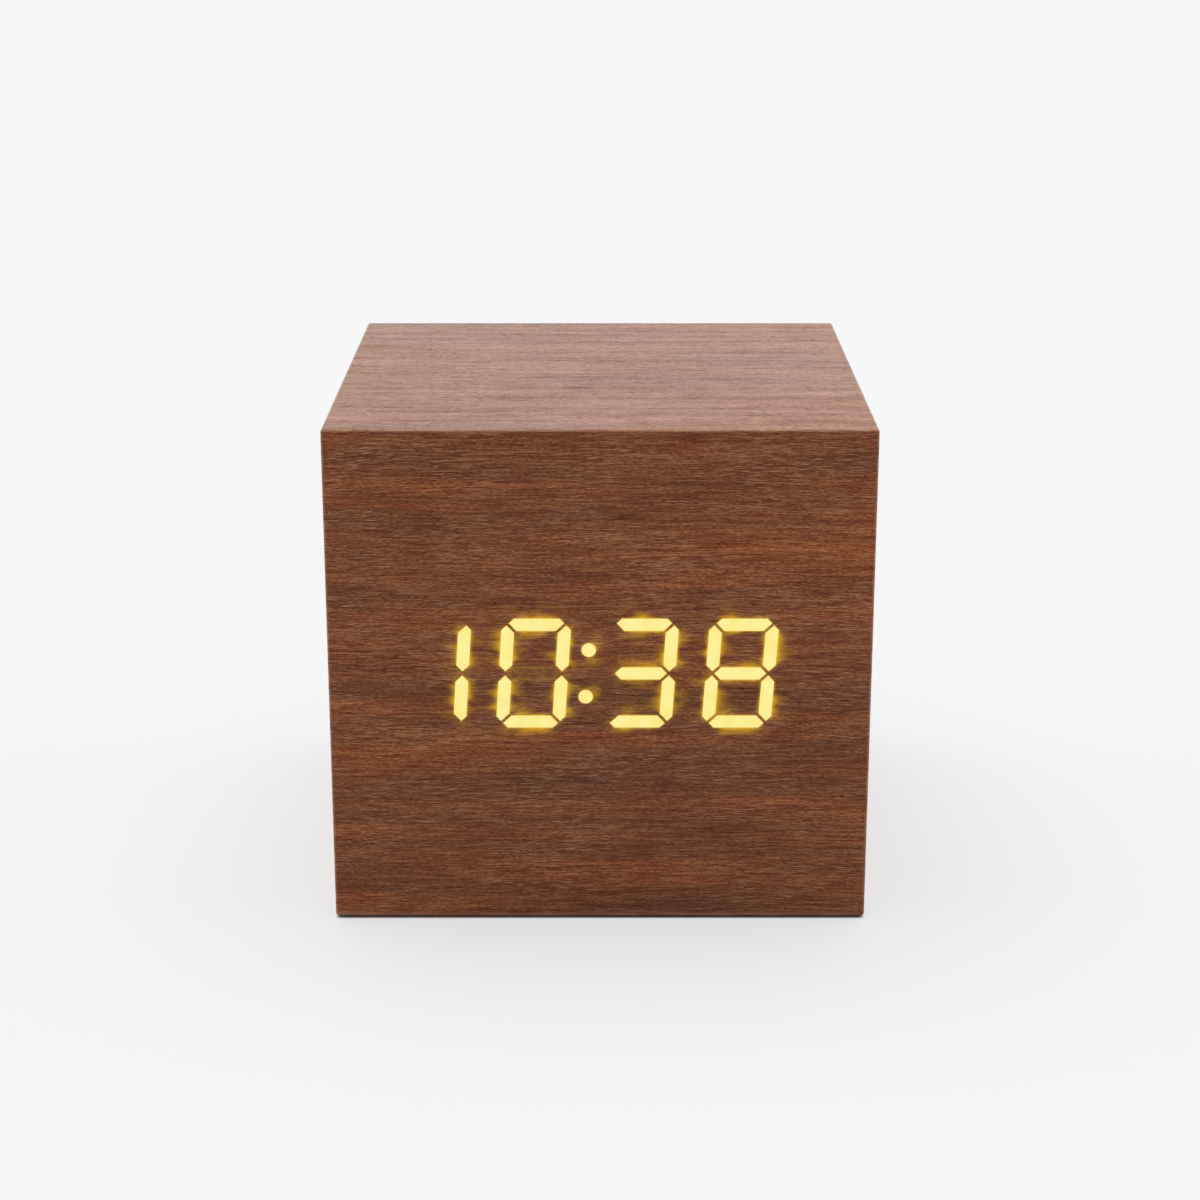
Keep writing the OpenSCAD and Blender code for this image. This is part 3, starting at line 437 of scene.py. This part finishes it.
def makeCircuitBoard():
    material, tree, shader = startMaterial("solderMask")
    look = boardLook
    vector = objectPlace(tree)
    turn = addNode(tree, "ShaderNodeMapping", values={"Rotation": (math.radians(90), 0, 0)})
    tree.links.new(vector, turn.inputs["Vector"])
    traces = addNode(tree, "ShaderNodeTexBrick", {"offset": look["stagger"], "squash": look["squash"]}, {
        "Scale": 1.0, "Mortar Size": look["traceWidth"], "Brick Width": look["traceLength"],
        "Row Height": look["tracePitch"], "Color1": (*look["mask"], 1), "Color2": (*look["mask"], 1),
        "Mortar": (*look["trace"], 1)})
    tree.links.new(turn.outputs["Vector"], traces.inputs["Vector"])
    skin = placeSkin(tree, "moulded", vector, {
        "Size": look["grain"], "Rough": look["rough"], "Mottle": look["mottle"]})
    tree.links.new(traces.outputs["Color"], skin.inputs["Color"])
    wearSkin(tree, skin, shader)
    addBump(tree, shader, traces.outputs["Fac"], look["relief"])
    return material


cellLook = {
    "sleeve": (0.055, 0.075, 0.10), "band": (0.30, 0.19, 0.06), "steel": (0.55, 0.54, 0.52),
    "bandFrom": (34 * mm, 34.3 * mm), "bandShine": 0.6,      # lengths are from the minus end
    "plusFrom": (43.2 * mm, 43.3 * mm), "minusFrom": (0.5 * mm, 0.4 * mm),
    "grain": 0.6 * mm, "rough": 0.32, "mottle": 0.2,
}


# plusSide is 1 where the plus end points to +X; the sleeve stops short of both ends
def makeCellJacket(name, plusSide, low, high):
    material, tree, shader = startMaterial(name)
    look = cellLook
    vector = objectPlace(tree)
    split = addNode(tree, "ShaderNodeSeparateXYZ")
    tree.links.new(vector, split.inputs[0])
    x = split.outputs["X"]
    along = math2(tree, "SUBTRACT", x, low) if plusSide > 0 else math2(tree, "SUBTRACT", high, x)
    band = stepOf(tree, along, *look["bandFrom"])
    ends = math2(tree, "MAXIMUM", stepOf(tree, along, *look["plusFrom"]),
                 stepOf(tree, along, *look["minusFrom"]))
    skin = placeSkin(tree, "moulded", vector, {
        "Size": look["grain"], "Rough": look["rough"], "Mottle": look["mottle"]})
    tree.links.new(blendColor(tree, band, look["sleeve"], look["band"]), skin.inputs["Color"])
    wearSkin(tree, skin, shader)
    color = blendColor(tree, ends, skin.outputs["Color"], look["steel"])
    tree.links.new(color, shader.inputs["Base Color"])
    shine = math2(tree, "MULTIPLY", band, look["bandShine"])
    tree.links.new(math2(tree, "MAXIMUM", ends, shine), shader.inputs["Metallic"])
    return material


walnutLit = makeWalnut("walnutVeneer", True)
walnutPlain = makeWalnut("walnutUnderside", False)
litAmber = makeLitAmber()
fibreboard = makeFibreboard()
circuitBoard = makeCircuitBoard()
# colour and roughness, then the grain's size, mottle and relief where they aren't the usual ones
blackMoulding = makeMoulded("blackMoulding", (0.020, 0.0195, 0.019), 0.50, 0.22 * mm, 0.5, 0.02 * mm)
buttonSatin = makeMoulded("buttonSatin", (0.030, 0.0295, 0.029), 0.36, 0.5 * mm, 0.4, 0.004 * mm)
chipBlack = makeMoulded("chipBlack", (0.020, 0.020, 0.022), 0.55)
whiteMoulding = makeMoulded("whiteMoulding", (0.78, 0.78, 0.75), 0.45, 0.4 * mm, 0.08)
darkLens = makeMoulded("darkLens", (0.55, 0.52, 0.40), 0.3, 0.8 * mm, 0.15)
ledBody = makeMoulded("ledBody", (0.72, 0.60, 0.22), 0.3, 0.3 * mm, 0.2)
pine = makeMoulded("planedPine", (0.60, 0.43, 0.24), 0.65, 0.5 * mm, 0.35)
blueSleeve = makeMoulded("blueSleeve", (0.02, 0.06, 0.25), 0.3)
greyRibbon = makeMoulded("greyRibbon", (0.42, 0.42, 0.43), 0.55)
blackWire = makeMoulded("blackWire", (0.015, 0.015, 0.015), 0.45)
redWire = makeMoulded("redWire", (0.38, 0.015, 0.012), 0.45)
zinc = makeMetal("zincPlate", (0.62, 0.62, 0.64), 0.34)
nickel = makeMetal("nickelPlate", (0.66, 0.63, 0.59), 0.26)
blackScrew = makeMetal("blackOxide", (0.060, 0.060, 0.062), 0.38)
print("materials made:", len(bpy.data.materials))

dressed = {
    fibreboard: ["front_panel", "top_panel", "bottom_panel", "left_panel", "right_panel"],
    pine: ["corner_blocks"],
    whiteMoulding: ["display_reflector", "ribbon_plug_display", "ribbon_plug_keys", "power_plug"],
    darkLens: ["unlit_segments"],
    ledBody: ["segment_leds"],
    circuitBoard: ["display_board", "key_board"],
    zinc: ["display_board_screws", "key_board_screws"],
    chipBlack: ["clock_chip", "driver_chip", "buzzer", "tact_switches", "usb_tongue",
                "plunger_set", "plunger_up", "plunger_down"],
    nickel: ["crystal", "usb_shell", "contact_plates", "contact_springs"],
    blueSleeve: ["capacitor"],
    greyRibbon: ["ribbon_cable"],
    blackWire: ["battery_lead_minus"],
    redWire: ["battery_lead_plus"],
    blackMoulding: ["rear_cover", "battery_door"],
    blackScrew: ["rear_cover_screws"],
}


def dressSolid(name, material):
    for slot in nodes[name].material_slots:
        slot.material = material


for material, names in dressed.items():
    for name in names:
        dressSolid(name, material)
for name, plusSide in (("battery_cell_1", 1), ("battery_cell_2", -1), ("battery_cell_3", 1)):
    low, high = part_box(name)
    dressSolid(name, makeCellJacket(name + "_jacket", plusSide, low[0], high[0]))

softEdge = {"rear_cover": 0.16 * mm, "battery_door": 0.25 * mm, "steps": 2, "angle": math.radians(35)}


# softened edges on the moulded solids
def softenEdges(name):
    weld = nodes[name].modifiers.new("weld", "WELD")
    weld.merge_threshold = mergeGap
    edge = nodes[name].modifiers.new("edge", "BEVEL")
    edge.width = softEdge[name]
    edge.segments = softEdge["steps"]
    edge.limit_method = "ANGLE"
    edge.angle_limit = softEdge["angle"]
    edge.harden_normals = True


softenEdges("rear_cover")
softenEdges("battery_door")
print("solids dressed")


# small helpers for meshes
def vertsOf(geom):
    return [v for v in geom if isinstance(v, bmesh.types.BMVert)]


def borderOf(shape):
    return [e for e in shape.edges if e.is_boundary]


def shadeSmooth(mesh):
    mesh.shade_smooth()
    mesh.set_sharp_from_angle(angle=creaseAngle)


def linkObject(name, data):
    made = bpy.data.objects.new(name, data)
    bpy.context.scene.collection.objects.link(made)
    return made


def meshFrom(name, shape):
    mesh = bpy.data.meshes.new(name)
    shape.to_mesh(mesh)
    shape.free()
    return mesh


def finishPiece(name, shape, material, body, node):
    mesh = meshFrom(name, shape)
    mesh.materials.append(material)
    piece = linkObject(name, mesh)
    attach(piece, body)
    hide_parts(node)
    return piece


outlineLook = {"flat": math.radians(1), "facing": 0.9, "depth": 0.1 * mm}


# outlines of the segments, taken from the front faces of their solids
def frontOutlines(name):
    look = outlineLook
    shape = bmesh.new()
    shape.from_mesh(nodes[name].data)
    bmesh.ops.remove_doubles(shape, verts=shape.verts[:], dist=mergeGap)
    bmesh.ops.dissolve_limit(shape, angle_limit=look["flat"], verts=shape.verts[:], edges=shape.edges[:])
    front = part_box(name)[0][1] + look["depth"]
    other = [f for f in shape.faces
             if f.normal.y > -look["facing"] or f.calc_center_median().y > front]
    bmesh.ops.delete(shape, geom=other, context="FACES")
    return shape


litPiece = {"edge": 0.14 * mm}


# each segment: an inset face, whose light falls off at the edge, and walls back to the light source
def makeLit(name, node):
    low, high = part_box(node)
    shape = frontOutlines(node)
    core = shape.verts.layers.float.new("core")
    faces = shape.faces[:]
    bmesh.ops.inset_individual(shape, faces=faces, thickness=litPiece["edge"], use_even_offset=True)
    for face in faces:
        for vert in face.verts:
            vert[core] = 1.0
    walls = bmesh.ops.extrude_edge_only(shape, edges=borderOf(shape))["geom"]
    bmesh.ops.translate(shape, verts=vertsOf(walls), vec=(0, high[1] - low[1], 0))
    bmesh.ops.holes_fill(shape, edges=borderOf(shape), sides=0)
    bmesh.ops.recalc_face_normals(shape, faces=shape.faces[:])
    finishPiece(name, shape, litAmber, "clock", node)


makeLit("glowingSegments", "lit_segments")
makeLit("glowingDots", "colon_dots")
print("lit segments made")

veneerPiece = {
    "edge": 0.34 * mm, "edgeSteps": 5, "foot": 0.62 * mm, "footSteps": 6, "thickness": 0.4 * mm,
    "sharp": math.radians(30),           # edges that are rounded
    "pad": 2.6 * mm,                     # border of the fine mesh around the lit segments
    "step": 0.22 * mm,                   # size of the fine mesh
    "windowLead": 1 * mm, "windowDepth": 3 * mm,      # how the segments' windows are cut
    "haloSpan": 0.42,                    # share of a segment's length that spreads its full light
    "rimReach": 0.08 * mm, "ghostReach": 0.13 * mm, "strayReach": 2.2 * mm,
    "dotLag": 0.42 * mm,                 # the dots spread less light
    "dotLength": 1.2,                    # a dot is at most this much longer than wide
    "ghostFill": 0.25,                   # share of the stray light that isn't at an outline
    "strayStart": 0.8, "strayGain": 3,   # least stray light that shows, and how fast it grows
    "frontSkin": 0.05 * mm,              # points this close to the front carry light
    "farAway": 99,                       # distance in mm that no light reaches
    "floorReflection": 1.1 * mm,                 # height of the band above the floor that carries a painted reflection of the floor
}


def faceToward(shape, axis, side):
    picks = [f for f in shape.faces if f.normal[axis] * side > 0.999]
    return max(picks, key=lambda f: f.calc_area())


def roundEdges(shape, edges, offset, steps):
    bmesh.ops.bevel(shape, geom=edges, offset=offset, segments=steps, profile=0.5, affect="EDGES",
                    material=-1)


# the whole rounded case, which the wrap and the base sheet are cut from
def roundedCase():
    low, high = (Vector(p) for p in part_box("veneer_wrap"))
    low.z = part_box("base_veneer")[0][2]
    look = veneerPiece
    shape = bmesh.new()
    bmesh.ops.create_cube(shape, size=1)
    bmesh.ops.scale(shape, verts=shape.verts[:], vec=high - low)
    bmesh.ops.translate(shape, verts=shape.verts[:], vec=(low + high) / 2)
    foot = [e for e in shape.edges if all(v.co.z < low.z + look["foot"] for v in e.verts)]
    roundEdges(shape, foot, look["foot"], look["footSteps"])
    sharp = [e for e in shape.edges if e.calc_face_angle() > look["sharp"]]
    roundEdges(shape, sharp, look["edge"], look["edgeSteps"])
    return shape


def cutAt(shape, height, **keep):
    whole = shape.verts[:] + shape.edges[:] + shape.faces[:]
    bmesh.ops.bisect_plane(shape, geom=whole, plane_co=(0, 0, height), plane_no=(0, 0, 1), **keep)


def makeBase():
    shape = roundedCase()
    cutAt(shape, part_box("base_veneer")[1][2], clear_outer=True)
    bmesh.ops.holes_fill(shape, edges=borderOf(shape), sides=0)
    bmesh.ops.recalc_face_normals(shape, faces=shape.faces[:])
    piece = finishPiece("walnutBase", shape, walnutPlain, "clock", "base_veneer")
    shadeSmooth(piece.data)


def crosses(face, axis, place):
    places = [v.co[axis] for v in face.verts]
    return min(places) < place < max(places)


# fine mesh around the lit segments, which carries their light
def meshFinely(shape):
    look = veneerPiece
    litLow, litHigh = (Vector(p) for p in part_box("lit_segments"))
    area = [faceToward(shape, 1, -1)]
    for axis in (0, 2):
        first, last = litLow[axis] - look["pad"], litHigh[axis] + look["pad"]
        count = round((last - first) / look["step"])
        for i in range(count + 1):
            place = first + (last - first) * i / count
            reach = [f for f in area if crosses(f, axis, place)]
            geom = dict.fromkeys(reach)
            for face in reach:
                geom.update(dict.fromkeys([*face.verts, *face.edges]))
            point, normal = Vector(), Vector()
            point[axis], normal[axis] = place, 1
            cut = bmesh.ops.bisect_plane(shape, geom=list(geom), plane_co=point, plane_no=normal)
            fresh = [f for f in cut["geom"] if isinstance(f, bmesh.types.BMFace)]
            area = [f for f in area if f not in geom] + fresh
            area = [f for f in dict.fromkeys(area) if f.is_valid]


def makeShell():
    look = veneerPiece
    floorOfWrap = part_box("veneer_wrap")[0][2]
    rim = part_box("left_panel")[1][0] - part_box("veneer_wrap")[0][0]
    shape = roundedCase()
    rear = faceToward(shape, 1, 1)
    bmesh.ops.inset_region(shape, faces=[rear], thickness=rim - look["edge"], use_even_offset=True)
    sill = min(v.co.z for v in rear.verts)
    lower = [v for v in rear.verts if v.co.z < sill + look["foot"]]
    bmesh.ops.translate(shape, verts=lower, vec=(0, 0, look["edge"] - look["foot"]))
    bmesh.ops.delete(shape, geom=[rear], context="FACES_ONLY")
    cutAt(shape, floorOfWrap, clear_inner=True)
    cutAt(shape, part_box("base_veneer")[0][2] + look["floorReflection"])
    bmesh.ops.recalc_face_normals(shape, faces=shape.faces[:])
    bmesh.ops.solidify(shape, geom=shape.faces[:], thickness=look["thickness"])
    meshFinely(shape)
    return linkObject("walnutVeneer", meshFrom("walnutShell", shape))


# corners of each segment on the front, as x and z
def cornersOf(*names):
    corners = []
    for name in names:
        shape = frontOutlines(name)
        corners += [np.array([(v.co.x, v.co.z) for v in f.verts]) for f in shape.faces]
        shape.free()
    return corners


# opens the veneer where the segments shine through
def cutWindows(shell):
    look = veneerPiece
    shape = bmesh.new()
    for name in ("lit_segments", "colon_dots"):
        outline = meshFrom("outline", frontOutlines(name))
        shape.from_mesh(outline)
        bpy.data.meshes.remove(outline)
    bmesh.ops.translate(shape, verts=shape.verts[:], vec=(0, -look["windowLead"], 0))
    pushed = bmesh.ops.extrude_face_region(shape, geom=shape.faces[:])["geom"]
    bmesh.ops.translate(shape, verts=vertsOf(pushed), vec=(0, look["windowDepth"], 0))
    bmesh.ops.recalc_face_normals(shape, faces=shape.faces[:])
    cutter = linkObject("cutter", meshFrom("cutter", shape))
    window = shell.modifiers.new("windows", "BOOLEAN")
    window.operation = "DIFFERENCE"
    window.solver = "EXACT"
    window.object = cutter
    bpy.context.view_layer.update()
    view = bpy.context.evaluated_depsgraph_get()
    mesh = bpy.data.meshes.new_from_object(shell.evaluated_get(view))
    shell.modifiers.clear()
    shell.data = mesh
    bpy.data.objects.remove(cutter)


# distance from each point to an outline, and whether the point is inside it
def outlineDistance(points, corners):
    distance = np.full(len(points), np.inf)
    sides = []
    for a, b in zip(corners, np.roll(corners, -1, axis=0)):
        edge = b - a
        t = np.clip(((points - a) @ edge) / (edge @ edge), 0, 1)
        distance = np.minimum(distance, np.linalg.norm(points - (a + t[:, None] * edge), axis=1))
        sides.append(edge[0] * (points - a)[:, 1] - edge[1] * (points - a)[:, 0])
    sides = np.array(sides)
    return distance, np.all(sides > 0, axis=0) | np.all(sides < 0, axis=0)


# light in the veneer: distance in mm from a lit segment, light at its edge, and stray light in unlit ones
def glowAt(points, lit, unlit):
    look = veneerPiece
    away, rim = np.full(len(points), np.inf), np.full(len(points), np.inf)
    stray, ghost = np.zeros(len(points)), np.zeros(len(points))
    for corners in lit:
        middle = corners.mean(axis=0)
        axes = np.linalg.svd(corners - middle)[2]
        along, across = np.abs((points - middle) @ axes.T).T
        halfLength, halfWidth = np.abs((corners - middle) @ axes.T).max(axis=0)
        stretch = np.maximum(along - look["haloSpan"] * halfLength, 0)
        outside = np.maximum(np.hypot(stretch, across) - halfWidth, 0)
        isDot = halfLength < look["dotLength"] * halfWidth
        away = np.minimum(away, outside + isDot * look["dotLag"])
        stray += np.exp(-outside / look["strayReach"]) * (not isDot)
        rim = np.minimum(rim, outlineDistance(points, corners)[0])
    for corners in unlit:
        edge, inside = outlineDistance(points, corners)
        line = np.exp(-edge / look["ghostReach"])
        ghost = np.maximum(ghost, look["ghostFill"] * inside + (1 - look["ghostFill"]) * line)
    ghost = ghost * np.clip(look["strayGain"] * (stray - look["strayStart"]), 0, 1)
    return {"away": away / mm, "rim": np.exp(-rim / look["rimReach"]), "ghost": ghost}


# where the painted highlight goes: 1 on the crest of a rounded edge, 0 on the flat faces, and a wider
# band above the floor for a painted reflection of the floor
def wornHighlightAt(points, low, high):
    look = veneerPiece
    depth = np.minimum(points - low, high - points)
    crest = 1 - np.sort(depth, axis=1)[:, 1] / look["edge"]
    floorReflect = 1 - (points[:, 2] - low[2]) / look["floorReflection"]
    return np.clip(np.maximum(crest, floorReflect), 0, 1)


grainShift = {"top": (0.52, 0.0), "rear": (0.30, 0.20)}      # other stretches of the sheet


# grain runs round the case: across the front and top, and back along the sides
def grainPlace(co, normal, low, high):
    u, v = co.x, co.z
    if abs(normal.x) > max(abs(normal.y), abs(normal.z)):
        u = high.x + co.y - low.y if normal.x > 0 else low.x - co.y + low.y
    elif abs(normal.z) > abs(normal.y):
        v = high.z + co.y - low.y if normal.z > 0 else low.z - co.y + low.y
        u += grainShift["top"][0] if normal.z > 0 else 0
    elif normal.y > 0:
        u, v = u + grainShift["rear"][0], v + grainShift["rear"][1]
    return u, v


# light, rubbing with its painted highlight, the top's painted sheen tint and the grain, where the
# veneer's material reads them
def paintVeneer(mesh):
    look = veneerPiece
    low, high = (Vector(p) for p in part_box("veneer_wrap"))
    points = np.empty(len(mesh.vertices) * 3)
    mesh.vertices.foreach_get("co", points)
    points = points.reshape(-1, 3)
    onFront = points[:, 1] < low.y + look["frontSkin"]
    lit, unlit = cornersOf("lit_segments", "colon_dots"), cornersOf("unlit_segments")
    glow = glowAt(points[:, [0, 2]], lit, unlit)
    none = {"away": look["farAway"], "rim": 0, "ghost": 0}
    fields = {name: np.where(onFront, values, none[name]) for name, values in glow.items()}
    caseLow = np.array((low.x, low.y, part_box("base_veneer")[0][2]))
    fields["wornHighlight"] = wornHighlightAt(points, caseLow, np.array(high))
    # the painted sheen tint: 1 on the top, fading out over its rounded edge
    fields["topSheen"] = np.clip(1 - (high.z - points[:, 2]) / look["edge"], 0, 1)
    for name, values in fields.items():
        layer = mesh.attributes.new(name, "FLOAT", "POINT")
        layer.data.foreach_set("value", values.astype(np.float32))
    grain = mesh.uv_layers.new(name="grain")
    for polygon in mesh.polygons:
        for loop in polygon.loop_indices:
            co = mesh.vertices[mesh.loops[loop].vertex_index].co
            grain.data[loop].uv = grainPlace(co, polygon.normal, low, high)


def makeVeneer():
    shell = makeShell()
    cutWindows(shell)
    mesh = shell.data
    mesh.materials.clear()
    mesh.materials.append(walnutLit)
    paintVeneer(mesh)
    shadeSmooth(mesh)
    even = shell.modifiers.new("even", "WEIGHTED_NORMAL")
    even.keep_sharp = True
    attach(shell, "clock")
    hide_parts("veneer_wrap")
    print("veneer made:", len(mesh.polygons), "faces")


makeVeneer()
makeBase()
print("base made")

buttonPiece = {
    "steps": 48, "stemRadius": 1.5 * mm, "flangeRadius": 3.7 * mm, "flangeEdge": 0.12 * mm,
    "flangeLow": 0.5 * mm, "flangeHigh": 1.3 * mm,      # from the stem's end
    "capRadius": 3.0 * mm, "capEdge": 0.5 * mm, "capSteps": 5,
    "dish": [(2.1 * mm, 0.03 * mm), (1.5 * mm, 0.09 * mm), (0, 0.12 * mm)],      # radius and depth
    "markRadius": 1.05 * mm, "markRise": 0.14 * mm, "markSink": 0.03 * mm,
    "markEdge": 0.04 * mm, "markSteps": 2,
}


# half outline of the stem, the flange and the dished cap, as radius and place along Y
def buttonProfile(stemEnd, face):
    look = buttonPiece
    stem, flange, cap = look["stemRadius"], look["flangeRadius"], look["capRadius"]
    low, high = stemEnd + look["flangeLow"], stemEnd + look["flangeHigh"]
    bevel, corner = look["flangeEdge"], look["capEdge"]
    profile = [(0, stemEnd), (stem, stemEnd), (stem, low), (flange - bevel, low), (flange, low + bevel),
               (flange, high - bevel), (flange - bevel, high), (cap, high), (cap, face - corner)]
    for i in range(1, look["capSteps"] + 1):
        turn = math.pi / 2 * i / look["capSteps"]
        profile.append((cap - corner * (1 - math.cos(turn)), face - corner * (1 - math.sin(turn))))
    return profile + [(radius, face - depth) for radius, depth in look["dish"]]


# low moulded mark in the dish: its number of sides, and its turn in degrees
def addMark(shape, x, face, z, sides, turn):
    look = buttonPiece
    made = bmesh.ops.create_circle(
        shape, cap_ends=True, segments=sides, radius=look["markRadius"])["verts"]
    seat = face - look["dish"][-1][1] - look["markSink"]
    put = Matrix.Translation((x, seat, z)) @ Matrix.Rotation(
        math.radians(90), 4, "X") @ Matrix.Rotation(math.radians(turn), 4, "Z")
    bmesh.ops.transform(shape, matrix=put, verts=made)
    plate = [f for f in shape.faces if all(v in made for v in f.verts)]
    top = vertsOf(bmesh.ops.extrude_face_region(shape, geom=plate)["geom"])
    bmesh.ops.translate(shape, verts=top, vec=(0, look["markRise"], 0))
    island = list(dict.fromkeys(f for v in made + top for f in v.link_faces))
    bmesh.ops.recalc_face_normals(shape, faces=island)
    lip = [e for e in shape.edges if all(v in top for v in e.verts)]
    roundEdges(shape, lip, look["markEdge"], look["markSteps"])


# turned cap, flange and stem, with a mark on the face
def makeButton(name, node, body, sides, turn):
    low, high = (Vector(p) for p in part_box(node))
    x, z = (low.x + high.x) / 2, (low.z + high.z) / 2
    shape = bmesh.new()
    line = [shape.verts.new((x + radius, y, z)) for radius, y in buttonProfile(low.y, high.y)]
    edges = [shape.edges.new(pair) for pair in zip(line, line[1:])]
    bmesh.ops.spin(shape, geom=line + edges, cent=(x, 0, z), axis=(0, 1, 0), angle=2 * math.pi,
                   steps=buttonPiece["steps"], use_merge=True)
    bmesh.ops.remove_doubles(shape, verts=shape.verts[:], dist=mergeGap)
    bmesh.ops.recalc_face_normals(shape, faces=shape.faces[:])
    addMark(shape, x, high.y, z, sides, turn)
    piece = finishPiece(name, shape, buttonSatin, body, node)
    shadeSmooth(piece.data)


makeButton("setButton", "button_set", "set_button", 24, 0)
makeButton("upButton", "button_up", "up_button", 3, 90)
makeButton("downButton", "button_down", "down_button", 3, -90)
print("buttons made")

# stage: a pale floor that shows the shadow softly, under an even sky and three soft lamps, with a painted
# contact shadow under the object
stageLook = {
    "floor": 0.75, "size": 6.0, "sides": 64, "sky": 0.24,
    "backdrop": 0.922,         # brightness of the open floor and of what is behind it
    "shadow": 0.36,            # how much of the floor's own light and shade is seen
    "lit": 1.19,               # light on the open floor
    "contact": 0.4 * mm,       # reach of the painted contact shadow, a dark line on the floor under the object
}


# 1 for the rays that should see the white studio
def whiteRays(tree):
    path = addNode(tree, "ShaderNodeLightPath")
    seen = math2(tree, "MAXIMUM", path.outputs["Is Glossy Ray"], path.outputs["Is Transmission Ray"])
    return math2(tree, "MAXIMUM", path.outputs["Is Camera Ray"], seen)


def makePaleFloor():
    material, tree, shader = startMaterial("paleFloor")
    look = stageLook
    share = look["shadow"]
    shader.inputs["Base Color"].default_value = (*[look["floor"]] * 3, 1)
    shader.inputs["Roughness"].default_value = 1.0
    shader.inputs["Specular IOR Level"].default_value = 0.0
    lift = (look["backdrop"] - share * look["floor"] * look["lit"]) / (1 - share)
    # painted contact shadow: the floor's white light dims where the object is near
    contact = addNode(tree, "ShaderNodeAmbientOcclusion", {"samples": 8}, {"Distance": look["contact"]})
    white = addNode(tree, "ShaderNodeEmission", {}, {"Color": (lift, lift, lift, 1)})
    tree.links.new(contact.outputs["AO"], white.inputs["Strength"])
    mixed = addNode(tree, "ShaderNodeMixShader")
    tree.links.new(math2(tree, "MULTIPLY", whiteRays(tree), 1 - share), mixed.inputs["Fac"])
    tree.links.new(shader.outputs["BSDF"], mixed.inputs[1])
    tree.links.new(white.outputs["Emission"], mixed.inputs[2])
    tree.links.new(mixed.outputs["Shader"], tree.nodes["Material Output"].inputs["Surface"])
    return material


def makeFloor():
    shape = bmesh.new()
    bmesh.ops.create_circle(shape, cap_ends=True, segments=stageLook["sides"], radius=stageLook["size"])
    floor = linkObject("floor", meshFrom("floor", shape))
    floor.data.materials.append(makePaleFloor())


def makeSky():
    world = bpy.data.worlds.new("studio")
    bpy.context.scene.world = world
    world.use_nodes = True
    tree = world.node_tree
    sky = tree.nodes["Background"]
    sky.inputs["Color"].default_value = (1, 1, 1, 1)
    bright = math2(tree, "MULTIPLY", whiteRays(tree), stageLook["backdrop"] - stageLook["sky"])
    tree.links.new(math2(tree, "ADD", bright, stageLook["sky"]), sky.inputs["Strength"])


lampLook = {
    "top": {"from": (-0.05, 0.16, 1.0), "softness": 66, "power": 2.70},
    "left": {"from": (-1.0, 0.30, 0.20), "softness": 50, "power": 0.80},
    "right": {"from": (1.0, 0.22, 0.20), "softness": 50, "power": 0.85},
}


def makeLamp(name, look):
    lamp = bpy.data.lights.new(name, "SUN")
    lamp.angle = math.radians(look["softness"])
    lamp.energy = look["power"]
    holder = linkObject(name, lamp)
    holder.location = look["from"]
    holder.rotation_euler = (-Vector(look["from"])).to_track_quat("-Z", "Y").to_euler()


cameraLook = {"place": (0, -0.33795, 0.13654), "pitch": 17.123, "lens": 77.043, "sensor": 36}


def makeCamera():
    camera = linkObject("camera", bpy.data.cameras.new("camera"))
    camera.data.sensor_width = cameraLook["sensor"]
    camera.data.lens = cameraLook["lens"]
    camera.location = cameraLook["place"]
    camera.rotation_euler = (math.radians(90 - cameraLook["pitch"]), 0, 0)
    bpy.context.scene.camera = camera


makeFloor()
makeSky()
for name, look in lampLook.items():
    makeLamp(name, look)
makeCamera()
bpy.context.scene.view_settings.view_transform = "Standard"
print("stage made")

print("scene ready")
